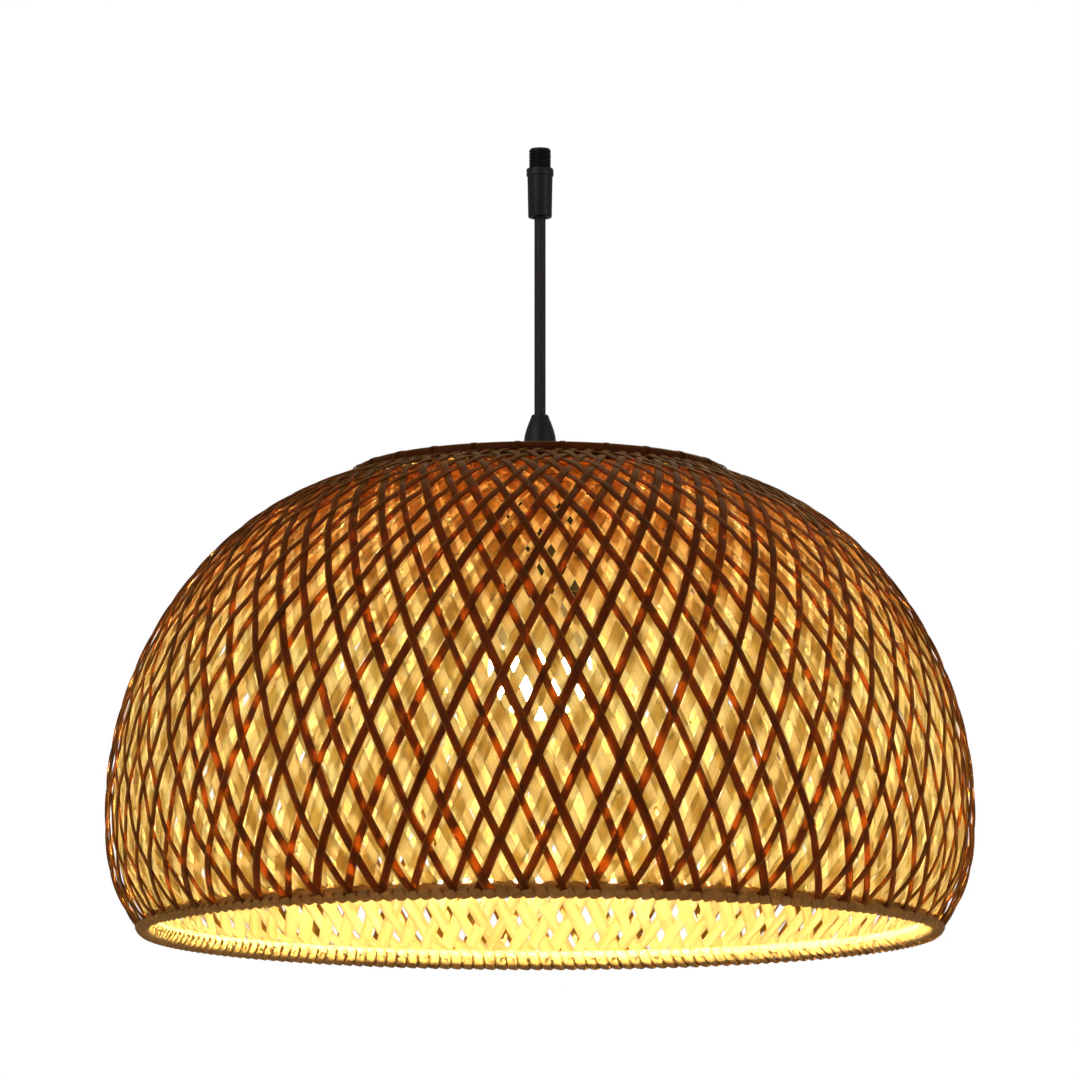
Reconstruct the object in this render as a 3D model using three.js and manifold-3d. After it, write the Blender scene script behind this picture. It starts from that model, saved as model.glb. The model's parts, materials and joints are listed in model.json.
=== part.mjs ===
// A hanging lamp shade: two domes of woven bamboo on one crown and one rim,
// carried by a lampholder on a short cord.
// Millimetres, +Z up. The origin is on the axis, at the seat of the cord grip.

import * as THREE from 'three';
import { mergeVertices } from 'three/addons/utils/BufferGeometryUtils.js';
import Module from 'manifold-3d';

const wasm = await Module();
wasm.setup();

// ---------------------------------------------------------------- sizes

const gap = 0.3; // between pieces that touch
const roundSides = 32; // sides of the large rings
const turnedSides = 20; // sides of the turned pieces
const smallSides = 12; // sides of screws, rivets and wires

// The dome: tangent arcs from the crown to the rim, each a radius and a sweep
// in degrees. They give its shape, and are scaled to the two sizes below.
const domeArcs = [[300, 17], [133, 33], [166, 46], [63, 37]];
const bellyRadius = 190;
const domeHeight = 214;
const rimTuck = 1.6; // the strips stop this far short of the rim's edge

// The woven layers
const outerWall = 1.6;
const innerWall = 1.6;
const layerPinch = 2.4; // how much closer together the layers stand half way down
const crownOpening = 77; // radius where both layers end at the crown
const domeSteps = 15; // facets from the crown to the rim

// The crown cap and its hoops
const capOverlap = 6; // how far the cap reaches under the outer layer
const capWall = 1.6;
const capFlat = 24; // radius of the flat middle, where the plates grip
const hoopWidth = 6;
const hoopHeight = 2.2;

// The rim
const rimHoopDiameter = 4;
const bindingWall = 0.8;
const bindingDepth = 3;

// The crown plates and their rivets
const plateRadius = 22;
const plateThickness = 1.2;
const rivetCount = 3;
const rivetCircle = 15;
const rivetShank = 1.5;
const rivetHead = 2.8;
const rivetHeadHeight = 1;

// The cord
const cordDiameter = 5;
const cordVisible = 88.7; // between the grip and the strain relief
const cordStepLength = 12;
const cordSides = 10;
const swingRoom = 1.6; // between the cord's ends and the lengths held in the grips

// The cord grip, with its M10 x 1 stud
const studRadius = 4.9;
const studLength = 9;
const gripCollarRadius = 6;
const gripCollarHeight = 3;
const gripTopRadius = 5.6;
const gripMouthRadius = 5.25;
const gripLength = 22;
const gripScrewRadius = 2;
const gripScrewDepth = 12;

// The bell-shaped strain relief
const bellHeight = 18;
const bellBaseRadius = 7.1;
const bellWaistRadius = 3.9;
const bellMouthRadius = 3.5;
const bellBaseRim = 5;
const bellFlare = 12;
const bellScrewRadius = 1.2;
const bellScrewDepth = 6.2;
const bellScrewEnd = 5.6;

// The M10 x 1 nipple that carries the shade, and its nut
const nippleRadius = 4.9;
const nippleRoom = 0.7; // round the cord
const nippleInBell = 3;
const nippleInHolder = 7;
const nutAcrossFlats = 14;
const nutHeight = 4;

// The lampholder, for an E27 base
const holderNeckRadius = 7.6;
const holderNeckHeight = 3.5;
const holderRadius = 19.5;
const holderWall = 2;
const holderCapHeight = 18;
const holderBodyHeight = 39;
const holderLip = 4;
const holderSkirt = 5.5; // the straight part of the cap's wall
const coreHeight = 9;
const coreSpigot = 2;
const shellRadius = 14.1;
const shellWall = 0.5;
const shellHeight = 22;
const shellHole = 6.5;
const contactRadius = 4;
const contactHeight = 1.4;
const terminalSpread = 9;
const terminalHead = 2.4;
const terminalHeadHeight = 1.8;
const terminalShank = 1.5;
const terminalLength = 6;
const leadRadius = 0.9;

// The bulb
const baseRadius = 13.2;
const baseWall = 0.5;
const baseLength = 22;
const insulatorHeight = 3;
const insulatorTip = 4.8;
const tipRadius = 4.4;
const tipHeight = 1;
const contactRoom = 0.9; // between the bulb's tip and the centre contact
const bulbLength = 78;
const bulbRadius = 22.5;
const bulbShell = 1.1;
const housingWall = 1.3;
const housingTopRadius = 21.3;
const boardThickness = 1.2;
const boardSeat = 2.5; // width of the ledge that the light board lies on
const ledCount = 6;
const ledCircle = 11;
const ledSize = [3.5, 2.8, 0.8];
const driverLength = 22;
const driverThickness = 1.2;

// ---------------------------------------------------------------- heights

const gripMouthZ = -gripLength;
const bellTopZ = gripMouthZ - cordVisible;
const bellBaseZ = bellTopZ - bellHeight;
const plateTopZ = bellBaseZ - gap;
const capTopZ = plateTopZ - plateThickness - gap;
const plateUnderZ = capTopZ - capWall - gap;
const nutTopZ = plateUnderZ - plateThickness - gap;
const holderTopZ = nutTopZ - nutHeight - gap;
const holderJoinZ = holderTopZ - holderCapHeight;
const holderEndZ = holderJoinZ - gap - holderBodyHeight;
const coreTopZ = holderJoinZ - gap;
const coreEndZ = coreTopZ - coreHeight;
const shellTopZ = coreEndZ - gap;
const bulbTipZ = shellTopZ - contactHeight - contactRoom;
const insulatorZ = bulbTipZ - tipHeight;
const baseTopZ = insulatorZ - gap - insulatorHeight;
const baseEndZ = baseTopZ - gap - baseLength;
const housingTopZ = baseEndZ - gap;
const bulbEndZ = bulbTipZ - bulbLength;
const diffuserMiddleZ = bulbEndZ + bulbRadius;
const diffuserEdge = Math.asin(housingTopRadius / bulbRadius);
const housingEndZ = diffuserMiddleZ + bulbRadius * Math.cos(diffuserEdge) + gap;
const nippleTopZ = bellBaseZ + nippleInBell;
const nippleEndZ = holderTopZ - nippleInHolder;
const cordEndZ = nippleEndZ - 2;

const cordRadius = cordDiameter / 2;
const cordBore = cordRadius + gap;
const nippleBore = cordRadius + nippleRoom;
const plateHole = nippleRadius + gap;

// ---------------------------------------------------------------- finishes

const finishes = {
  bambooDark: { color: 0x6b3410, roughness: 0.55, metalness: 0 },
  bambooHoney: { color: 0xc98b3c, roughness: 0.6, metalness: 0 },
  rattan: { color: 0x9b6226, roughness: 0.6, metalness: 0 },
  blackPlastic: { color: 0x151515, roughness: 0.45, metalness: 0 },
  blackSteel: { color: 0x1d1d1d, roughness: 0.4, metalness: 0.6 },
  cordSheath: { color: 0x1a1918, roughness: 0.7, metalness: 0 },
  brass: { color: 0xb8954a, roughness: 0.3, metalness: 1 },
  steel: { color: 0xb8bbc0, roughness: 0.35, metalness: 1 },
  ceramic: { color: 0xf0ece2, roughness: 0.35, metalness: 0 },
  brownLead: { color: 0x5a3018, roughness: 0.5, metalness: 0 },
  blueLead: { color: 0x27509b, roughness: 0.5, metalness: 0 },
  opal: { color: 0xfff2d6, roughness: 0.3, metalness: 0 },
  whitePlastic: { color: 0xf2f1ee, roughness: 0.4, metalness: 0 },
  board: { color: 0xe8e8e4, roughness: 0.5, metalness: 0 },
  led: { color: 0xf2d24a, roughness: 0.4, metalness: 0 },
};

// ---------------------------------------------------------------- tools

function radians(degrees) {
  return degrees * Math.PI / 180;
}

// A turned piece. The points are (radius, height) in order round its section,
// which starts and ends on the axis or closes on itself.
function turned(points, sides = turnedSides) {
  let area = 0;
  points.forEach(([r, z], i) => {
    const [nextR, nextZ] = points[(i + 1) % points.length];
    area += r * nextZ - nextR * z;
  });
  const ordered = area > 0 ? [...points] : [...points].reverse();
  const onAxis = ordered[0][0] === 0 && ordered[ordered.length - 1][0] === 0;
  if (!onAxis) ordered.push(ordered[0]);
  const geometry = new THREE.LatheGeometry(ordered.map(([r, z]) => new THREE.Vector2(r, z)), sides);
  geometry.rotateX(Math.PI / 2);
  return geometry;
}

function ring(innerRadius, outerRadius, low, high, sides = turnedSides) {
  return turned([[innerRadius, low], [outerRadius, low], [outerRadius, high], [innerRadius, high]], sides);
}

function rod(radius, low, high, sides = turnedSides) {
  return turned([[0, low], [radius, low], [radius, high], [0, high]], sides);
}

// A round bar between two points
function bar(from, to, radius, sides = smallSides) {
  const axis = new THREE.Vector3(...to).sub(new THREE.Vector3(...from));
  const geometry = rod(radius, 0, axis.length(), sides);
  const turn = new THREE.Quaternion().setFromUnitVectors(new THREE.Vector3(0, 0, 1), axis.normalize());
  geometry.applyQuaternion(turn);
  geometry.translate(...from);
  return geometry;
}

function circleShape(radius, sides) {
  const corners = [];
  for (let i = 0; i < sides; i += 1) {
    const angle = (i / sides) * 2 * Math.PI;
    corners.push(new THREE.Vector2(radius * Math.cos(angle), radius * Math.sin(angle)));
  }
  return new THREE.Shape(corners);
}

// A round tube along a smooth line through the points
function tube(points, radius, sides, steps) {
  const path = new THREE.CatmullRomCurve3(points.map((p) => new THREE.Vector3(...p)));
  const options = { steps, bevelEnabled: false, extrudePath: path };
  return new THREE.ExtrudeGeometry(circleShape(radius, sides), options);
}

function toSolid(geometry) {
  const bare = geometry.clone();
  bare.deleteAttribute('normal');
  bare.deleteAttribute('uv');
  const merged = mergeVertices(bare, 1e-4);
  const corners = [];
  const index = merged.index.array;
  for (let i = 0; i < index.length; i += 3) {
    const [a, b, c] = [index[i], index[i + 1], index[i + 2]];
    if (a !== b && b !== c && c !== a) corners.push(a, b, c);
  }
  return new wasm.Manifold(new wasm.Mesh({
    numProp: 3,
    vertProperties: new Float32Array(merged.attributes.position.array),
    triVerts: new Uint32Array(corners),
  }));
}

function toGeometry(solid) {
  const mesh = solid.getMesh();
  const geometry = new THREE.BufferGeometry();
  geometry.setAttribute('position', new THREE.BufferAttribute(new Float32Array(mesh.vertProperties), 3));
  geometry.setIndex(new THREE.BufferAttribute(new Uint32Array(mesh.triVerts), 1));
  geometry.computeVertexNormals();
  return geometry;
}

// The first geometry with the others cut away
function cut(geometry, ...cutters) {
  const rest = cutters.reduce((solid, cutter) => solid.subtract(toSolid(cutter)), toSolid(geometry));
  return toGeometry(rest);
}

function place(group, name, geometry, finish) {
  const mesh = new THREE.Mesh(geometry, new THREE.MeshStandardMaterial(finishes[finish]));
  mesh.name = name;
  group.add(mesh);
}

// ---------------------------------------------------------------- the dome's outline

const outlineLength = domeArcs.reduce((sum, [radius, sweep]) => sum + radius * radians(sweep), 0);

// The point of the unscaled outline at a share of its length, with its slope
function arcPoint(share) {
  let left = share * outlineLength;
  let slope = 0;
  let r = 0;
  let z = 0;
  for (const [radius, sweep] of domeArcs) {
    const turn = Math.min(left / radius, radians(sweep));
    r += radius * (Math.sin(slope + turn) - Math.sin(slope));
    z += radius * (Math.cos(slope + turn) - Math.cos(slope));
    slope += turn;
    left -= radius * turn;
  }
  return { r, z, slope };
}

// The widest point, where the outline is upright
function widestRadius() {
  let low = 0;
  let high = 1;
  for (let i = 0; i < 50; i += 1) {
    const middle = (low + high) / 2;
    if (arcPoint(middle).slope < Math.PI / 2) low = middle;
    else high = middle;
  }
  return arcPoint(low).r;
}

const acrossScale = bellyRadius / widestRadius();
const heightScale = domeHeight / -arcPoint(1).z;
const domeTopZ = capTopZ + outerWall + gap + heightScale * -arcPoint(shareAt(capFlat, acrossScale)).z;

// The share of the outline's length where the upper dome reaches a radius
function shareAt(radius, scale) {
  let low = 0;
  let high = 0.6;
  for (let i = 0; i < 50; i += 1) {
    const middle = (low + high) / 2;
    if (arcPoint(middle).r * scale < radius) low = middle;
    else high = middle;
  }
  return low;
}

// A point of the dome, moved out along its normal
function domePoint(share, out = 0) {
  const { r, z, slope } = arcPoint(share);
  const normalR = Math.sin(slope) / acrossScale;
  const normalZ = Math.cos(slope) / heightScale;
  const length = Math.hypot(normalR, normalZ);
  return [acrossScale * r + out * normalR / length, domeTopZ + heightScale * z + out * normalZ / length];
}

// A stretch of the outline, with short facets at its ends, where it meets other pieces
function domeLine(from, to, steps, outAt) {
  const points = [];
  for (let i = 0; i <= steps; i += 1) {
    const along = (1 - Math.cos(Math.PI * i / steps)) / 2;
    points.push(domePoint(from + (to - from) * along, outAt(along)));
  }
  return points;
}

// A length along the outline, as a share of it
function shareOf(length) {
  return length / (outlineLength * Math.sqrt(acrossScale * heightScale));
}

const crownShare = shareAt(crownOpening, acrossScale);
const rimShare = 1 - shareOf(rimTuck);
const innerCrownDepth = outerWall + gap + capWall + gap;
const innerRimDepth = outerWall + gap + rimHoopDiameter + gap;

// How deep the inner layer's outside lies under the outer layer's, by the share
// of the way from the crown to the rim
function innerDepth(along) {
  const straight = innerCrownDepth + (innerRimDepth - innerCrownDepth) * along;
  return straight - layerPinch * Math.sin(Math.PI * along);
}

function wayDown(share) {
  return Math.min(Math.max((share - crownShare) / (rimShare - crownShare), 0), 1);
}

// ---------------------------------------------------------------- the woven shade

function outerWeave() {
  const outside = domeLine(crownShare, rimShare, domeSteps, () => 0);
  const inside = domeLine(crownShare, rimShare, domeSteps, () => -outerWall);
  return turned([...outside, ...inside.reverse()], roundSides);
}

function innerWeave() {
  const outside = domeLine(crownShare, rimShare, domeSteps, (along) => -innerDepth(along));
  const inside = domeLine(crownShare, rimShare, domeSteps, (along) => -innerDepth(along) - innerWall);
  return turned([...outside, ...inside.reverse()], roundSides);
}

function rivetHoles() {
  return rivetPlaces().map(([x, y]) => bar([x, y, nutTopZ], [x, y, bellTopZ], rivetShank + gap));
}

function rivetPlaces() {
  const places = [];
  for (let i = 0; i < rivetCount; i += 1) {
    const angle = (i + 0.5) / rivetCount * 2 * Math.PI;
    places.push([rivetCircle * Math.cos(angle), rivetCircle * Math.sin(angle)]);
  }
  return places;
}

function crownCap() {
  const edgeShare = shareAt(crownOpening + capOverlap, acrossScale);
  const flatShare = shareAt(capFlat, acrossScale);
  const top = domeLine(flatShare, edgeShare, 5, () => -outerWall - gap);
  const under = domeLine(flatShare, edgeShare, 5, () => -outerWall - gap - capWall);
  const middleTop = [plateHole, capTopZ];
  const middleUnder = [plateHole, capTopZ - capWall];
  const disc = turned([middleTop, ...top, ...under.reverse(), middleUnder], roundSides);
  return cut(disc, ...rivetHoles());
}

// A half-round hoop that lies on one side of the layers at the crown
function crownHoop(side, depthAt) {
  const middle = shareAt(crownOpening + hoopWidth / 2 + gap, acrossScale);
  const reach = shareOf(hoopWidth / 2);
  const section = [];
  const bendSteps = 6;
  for (let i = 0; i <= bendSteps; i += 1) {
    const angle = Math.PI * i / bendSteps;
    const share = middle + reach * Math.cos(angle);
    section.push(domePoint(share, side * (gap + hoopHeight * Math.sin(angle)) - depthAt(share)));
  }
  return turned(section, roundSides);
}

function rimHoop() {
  const radius = rimHoopDiameter / 2;
  const backShare = rimShare - shareOf(radius);
  const [middleR, middleZ] = domePoint(backShare, -outerWall - gap - radius);
  const section = [];
  const sectionSides = 10;
  for (let i = 0; i < sectionSides; i += 1) {
    const angle = i / sectionSides * 2 * Math.PI;
    section.push([middleR + radius * Math.cos(angle), middleZ + radius * Math.sin(angle)]);
  }
  return turned(section, roundSides);
}

// A channel round the ends of both layers
function rimBinding() {
  const startShare = rimShare - shareOf(bindingDepth);
  const endShare = rimShare + shareOf(gap);
  const outShare = rimShare + shareOf(gap + bindingWall);
  const stack = innerRimDepth + innerWall;
  const inside = (share, more) => domePoint(share, -innerDepth(wayDown(share)) - innerWall - more);
  const outerLeg = domeLine(startShare, outShare, 3, () => gap + bindingWall);
  const innerFace = [inside(startShare, gap + bindingWall), inside(rimShare, gap + bindingWall)];
  const innerBack = [inside(startShare, gap), inside(rimShare, gap)];
  const outerBack = domeLine(startShare, endShare, 3, () => gap);
  return turned([
    ...outerLeg,
    domePoint(outShare, -stack - gap - bindingWall),
    innerFace[1],
    innerFace[0],
    innerBack[0],
    innerBack[1],
    domePoint(endShare, -stack - gap),
    ...outerBack.reverse(),
  ], roundSides);
}

function crownPlate(topZ) {
  return cut(ring(plateHole, plateRadius, topZ - plateThickness, topZ, roundSides), ...rivetHoles());
}

function rivet([x, y]) {
  const low = plateUnderZ - plateThickness - gap;
  const high = plateTopZ + gap;
  const geometry = turned([
    [0, low - rivetHeadHeight],
    [rivetHead * 0.7, low - rivetHeadHeight],
    [rivetHead, low],
    [rivetShank, low],
    [rivetShank, high],
    [rivetHead, high],
    [rivetHead * 0.7, high + rivetHeadHeight],
    [0, high + rivetHeadHeight],
  ], smallSides);
  geometry.translate(x, y, 0);
  return geometry;
}

// ---------------------------------------------------------------- the cord and its grips

function cordGrip() {
  const chamfer = 0.6;
  const body = turned([
    [cordBore, gripMouthZ],
    [gripMouthRadius - chamfer, gripMouthZ],
    [gripMouthRadius, gripMouthZ + chamfer],
    [gripTopRadius, -gripCollarHeight - chamfer],
    [gripCollarRadius, -gripCollarHeight],
    [gripCollarRadius, 0],
    [studRadius, 0],
    [studRadius, studLength - chamfer],
    [studRadius - chamfer, studLength],
    [cordBore, studLength],
  ]);
  const z = -gripScrewDepth;
  return cut(body, bar([0, cordRadius, z], [0, gripCollarRadius + 1, z], gripScrewRadius + gap));
}

// A slotted screw that presses on the cord from behind
function pressScrew(radius, from, to, z) {
  const slotWidth = radius * 0.4;
  const slotDepth = radius * 0.5;
  const screw = bar([0, from, z], [0, to, z], radius);
  const slot = new THREE.BoxGeometry(radius * 3, slotDepth * 2, slotWidth);
  slot.translate(0, to, z);
  return cut(screw, slot);
}

function cordPiece(highZ, lowZ) {
  const steps = Math.max(2, Math.round((highZ - lowZ) / cordStepLength));
  return tube([[0, 0, highZ], [0, 0, (highZ + lowZ) / 2], [0, 0, lowZ]], cordRadius, cordSides, steps);
}

function strainRelief() {
  const bend = [];
  const steps = 6;
  for (let i = 0; i <= steps; i += 1) {
    const drawIn = 1 - Math.cos(Math.PI / 2 * i / steps);
    bend.push([
      bellBaseRadius - (bellBaseRadius - bellWaistRadius) * drawIn,
      bellBaseZ + bellBaseRim + bellFlare * i / steps,
    ]);
  }
  const body = turned([
    [nippleRadius + gap, bellBaseZ],
    [bellBaseRadius, bellBaseZ],
    ...bend,
    [bellWaistRadius, bellTopZ - 1],
    [bellMouthRadius, bellTopZ],
    [cordBore, bellTopZ],
    [cordBore, nippleTopZ + gap],
    [nippleRadius + gap, nippleTopZ + gap],
  ]);
  const z = bellTopZ - bellScrewDepth;
  return cut(body, bar([0, cordRadius, z], [0, bellBaseRadius + 1, z], bellScrewRadius + gap));
}

function lockNut() {
  const nut = new THREE.Shape();
  for (let i = 0; i < 6; i += 1) {
    const angle = i * Math.PI / 3;
    const corner = nutAcrossFlats / 2 / Math.cos(Math.PI / 6);
    const point = [corner * Math.cos(angle), corner * Math.sin(angle)];
    if (i === 0) nut.moveTo(...point);
    else nut.lineTo(...point);
  }
  nut.closePath();
  nut.holes.push(new THREE.Path().absarc(0, 0, nippleRadius + gap, 0, 2 * Math.PI, true));
  const options = { depth: nutHeight, bevelEnabled: false, curveSegments: turnedSides };
  const geometry = new THREE.ExtrudeGeometry(nut, options);
  geometry.translate(0, 0, nutTopZ - nutHeight);
  return geometry;
}

// ---------------------------------------------------------------- the lampholder

function holderCap() {
  const neckZ = holderTopZ - holderNeckHeight;
  const drop = holderCapHeight - holderNeckHeight - holderSkirt;
  const widen = holderRadius - holderNeckRadius;
  const outside = [];
  const inside = [];
  const steps = 5;
  for (let i = 0; i <= steps; i += 1) {
    const across = Math.sin(Math.PI / 2 * i / steps);
    const down = 1 - Math.cos(Math.PI / 2 * i / steps);
    outside.push([holderNeckRadius + widen * across, neckZ - drop * down]);
    inside.push([
      holderNeckRadius + (widen - holderWall) * across,
      neckZ - holderWall - (drop - holderWall) * down,
    ]);
  }
  return turned([
    [nippleRadius + gap, holderTopZ],
    [holderNeckRadius, holderTopZ],
    ...outside,
    [holderRadius, holderJoinZ],
    [holderRadius - holderWall, holderJoinZ],
    ...inside.reverse(),
    [nippleRadius + gap, neckZ - holderWall],
  ]);
}

function holderBody() {
  const top = holderJoinZ - gap;
  const inside = holderRadius - holderWall;
  const lipRadius = holderRadius - holderWall - gap;
  const beadRadius = holderRadius + 1;
  const round = 1;
  return turned([
    [lipRadius - holderWall, top + holderLip],
    [lipRadius, top + holderLip],
    [lipRadius, top],
    [holderRadius, top],
    [holderRadius, holderEndZ + 5],
    [beadRadius, holderEndZ + 4],
    [beadRadius, holderEndZ + round],
    [beadRadius - round, holderEndZ],
    [inside, holderEndZ],
    [inside, coreEndZ - gap],
    [lipRadius - holderWall, coreEndZ - gap],
  ]);
}

// The insert that carries the contacts. It lies inside the lip of the body.
function holderCore() {
  const radius = holderRadius - 2 * holderWall - 2 * gap;
  const core = turned([
    [0, coreEndZ],
    [radius, coreEndZ],
    [radius, coreTopZ],
    [radius - coreSpigot, coreTopZ + coreSpigot],
    [0, coreTopZ + coreSpigot],
  ]);
  const holes = [-1, 1].map((side) => bar(
    [side * terminalSpread, 0, terminalTopZ - terminalLength],
    [side * terminalSpread, 0, coreTopZ + coreSpigot + 1],
    terminalShank + gap,
    smallSides,
  ));
  return cut(core, ...holes);
}

const terminalTopZ = coreTopZ + coreSpigot;

function terminalScrew(side) {
  const low = terminalTopZ + gap;
  const geometry = turned([
    [0, low - terminalLength + 1],
    [terminalShank, low - terminalLength + 1],
    [terminalShank, low],
    [terminalHead, low],
    [terminalHead, low + terminalHeadHeight],
    [0, low + terminalHeadHeight],
  ], smallSides);
  geometry.translate(side * terminalSpread, 0, 0);
  const slot = new THREE.BoxGeometry(terminalHead * 3, 0.7, 1);
  slot.translate(side * terminalSpread, 0, low + terminalHeadHeight);
  return cut(geometry, slot);
}

function screwShell() {
  const inside = shellRadius - shellWall;
  return turned([
    [shellHole, shellTopZ],
    [shellRadius, shellTopZ],
    [shellRadius, shellTopZ - shellHeight],
    [inside, shellTopZ - shellHeight],
    [inside, shellTopZ - shellWall],
    [shellHole, shellTopZ - shellWall],
  ]);
}

function centreContact() {
  return turned([
    [0, shellTopZ - contactHeight],
    [contactRadius * 0.6, shellTopZ - contactHeight],
    [contactRadius, shellTopZ - contactHeight * 0.4],
    [contactRadius, shellTopZ],
    [0, shellTopZ],
  ]);
}

function lead(side) {
  const startX = side * (leadRadius + gap);
  const endX = side * (terminalSpread - terminalHead - gap);
  const endZ = terminalTopZ + 2 * gap + leadRadius;
  const startZ = cordEndZ - gap;
  return tube([
    [startX, 0, startZ],
    [startX, 0, startZ - 1],
    [(startX + endX) / 2 - side, 0, endZ + 1.6],
    [endX - side * 1.2, 0, endZ],
    [endX, 0, endZ],
  ], leadRadius, 8, 10);
}

// ---------------------------------------------------------------- the bulb

const housingInside = housingTopRadius - housingWall;

function bulbDiffuser() {
  const outside = [];
  const inside = [];
  const steps = 11;
  for (let i = 0; i <= steps; i += 1) {
    const angle = diffuserEdge + (Math.PI - diffuserEdge) * i / steps;
    const across = i === steps ? 0 : Math.sin(angle);
    const insideRadius = bulbRadius - bulbShell;
    outside.push([bulbRadius * across, diffuserMiddleZ + bulbRadius * Math.cos(angle)]);
    inside.push([insideRadius * across, diffuserMiddleZ + insideRadius * Math.cos(angle)]);
  }
  return turned([...outside.reverse(), ...inside]);
}

function bulbHousing() {
  const neckRadius = baseRadius - baseWall - gap;
  const neckInside = neckRadius - housingWall;
  const housingLength = housingTopZ - housingEndZ;
  const wide = [];
  const wideInside = [];
  for (let i = 0; i <= 6; i += 1) {
    const along = i / 6;
    const swell = (1 - Math.cos(Math.PI * along)) / 2;
    const radius = baseRadius + (housingTopRadius - baseRadius) * swell;
    const z = housingTopZ - housingLength * along;
    wide.push([radius, z]);
    wideInside.push([radius - housingWall, Math.min(z, housingTopZ - 1)]);
  }
  const seatZ = housingEndZ + boardThickness + gap;
  const ledge = housingInside - boardSeat;
  const kept = wideInside.filter(([r, z]) => z > seatZ && r < ledge);
  return turned([
    [neckInside, housingTopZ + 6],
    [neckRadius, housingTopZ + 6],
    [neckRadius, housingTopZ],
    ...wide,
    [housingInside, housingEndZ],
    [housingInside, seatZ],
    [ledge, seatZ],
    ...kept.reverse().slice(0, -1),
    [neckInside, housingTopZ - 1],
  ]);
}

function ledBoard() {
  const radius = housingInside - gap;
  return rod(radius, housingEndZ, housingEndZ + boardThickness);
}

function led(number) {
  const [long, wide, high] = ledSize;
  const geometry = new THREE.BoxGeometry(long, wide, high);
  const angle = number / ledCount * 2 * Math.PI;
  geometry.rotateZ(angle + Math.PI / 2);
  geometry.translate(ledCircle * Math.cos(angle), ledCircle * Math.sin(angle), housingEndZ - gap - high / 2);
  return geometry;
}

function driverBoard() {
  const width = 2 * (baseRadius - baseWall - gap - housingWall - gap) - 0.2;
  const geometry = new THREE.BoxGeometry(width, driverThickness, driverLength);
  geometry.translate(0, 0, housingTopZ + 6 - driverLength / 2);
  return geometry;
}

function bulbBase() {
  const low = baseEndZ;
  const high = baseTopZ - gap;
  return turned([
    [baseRadius - baseWall, low],
    [baseRadius, low],
    [baseRadius, high - 3],
    [baseRadius - 3, high],
    [baseRadius - 3 - baseWall, high],
    [baseRadius - baseWall, high - 3],
  ]);
}

function bulbInsulator() {
  return turned([
    [0, baseTopZ],
    [baseRadius - 3, baseTopZ],
    [insulatorTip, insulatorZ - gap],
    [0, insulatorZ - gap],
  ]);
}

function bulbTip() {
  return turned([
    [0, insulatorZ],
    [tipRadius, insulatorZ],
    [tipRadius * 0.6, bulbTipZ],
    [0, bulbTipZ],
  ]);
}

// ---------------------------------------------------------------- assembly

const hanger = new THREE.Group();
place(hanger, 'cord_grip', cordGrip(), 'blackPlastic');
place(
  hanger,
  'grip_screw',
  pressScrew(gripScrewRadius, cordBore, gripMouthRadius, -gripScrewDepth),
  'blackPlastic',
);
place(hanger, 'cord_upper', cordPiece(studLength, gripMouthZ + swingRoom), 'cordSheath');

const cord = new THREE.Group();
place(cord, 'suspension_cord', cordPiece(gripMouthZ, bellTopZ), 'cordSheath');

const pendant = new THREE.Group();
place(pendant, 'strain_relief', strainRelief(), 'blackPlastic');
place(
  pendant,
  'strain_relief_screw',
  pressScrew(bellScrewRadius, cordBore, bellScrewEnd, bellTopZ - bellScrewDepth),
  'blackPlastic',
);
place(pendant, 'cord_lower', cordPiece(bellTopZ - swingRoom, cordEndZ), 'cordSheath');
place(pendant, 'shade_nipple', ring(nippleBore, nippleRadius, nippleEndZ, nippleTopZ), 'steel');
place(pendant, 'lock_nut', lockNut(), 'steel');
place(pendant, 'lampholder_cap', holderCap(), 'blackPlastic');
place(pendant, 'lampholder_body', holderBody(), 'blackPlastic');
place(pendant, 'lampholder_core', holderCore(), 'ceramic');
place(pendant, 'screw_shell', screwShell(), 'brass');
place(pendant, 'centre_contact', centreContact(), 'brass');
place(pendant, 'terminal_screw_1', terminalScrew(-1), 'brass');
place(pendant, 'terminal_screw_2', terminalScrew(1), 'brass');
place(pendant, 'lead_live', lead(-1), 'brownLead');
place(pendant, 'lead_neutral', lead(1), 'blueLead');

const shade = new THREE.Group();
place(shade, 'outer_weave', outerWeave(), 'bambooDark');
place(shade, 'inner_weave', innerWeave(), 'bambooHoney');
place(shade, 'crown_cap', crownCap(), 'bambooDark');
place(shade, 'crown_hoop_outer', crownHoop(1, () => 0), 'rattan');
place(shade, 'crown_hoop_inner', crownHoop(-1, (share) => innerDepth(wayDown(share)) + innerWall), 'rattan');
place(shade, 'rim_hoop', rimHoop(), 'rattan');
place(shade, 'rim_binding', rimBinding(), 'rattan');
place(shade, 'crown_plate_top', crownPlate(plateTopZ), 'blackSteel');
place(shade, 'crown_plate_under', crownPlate(plateUnderZ), 'blackSteel');
rivetPlaces().forEach((spot, i) => place(shade, `crown_rivet_${i + 1}`, rivet(spot), 'steel'));

const bulb = new THREE.Group();
place(bulb, 'bulb_diffuser', bulbDiffuser(), 'opal');
place(bulb, 'bulb_housing', bulbHousing(), 'whitePlastic');
place(bulb, 'led_board', ledBoard(), 'board');
for (let i = 0; i < ledCount; i += 1) place(bulb, `led_${i + 1}`, led(i), 'led');
place(bulb, 'driver_board', driverBoard(), 'board');
place(bulb, 'bulb_base', bulbBase(), 'steel');
place(bulb, 'bulb_insulator', bulbInsulator(), 'blackPlastic');
place(bulb, 'bulb_tip', bulbTip(), 'brass');

const lampShade = new THREE.Group();
lampShade.add(hanger, cord, pendant, shade, bulb);

export default lampShade;
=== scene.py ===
import json
import math

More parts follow.
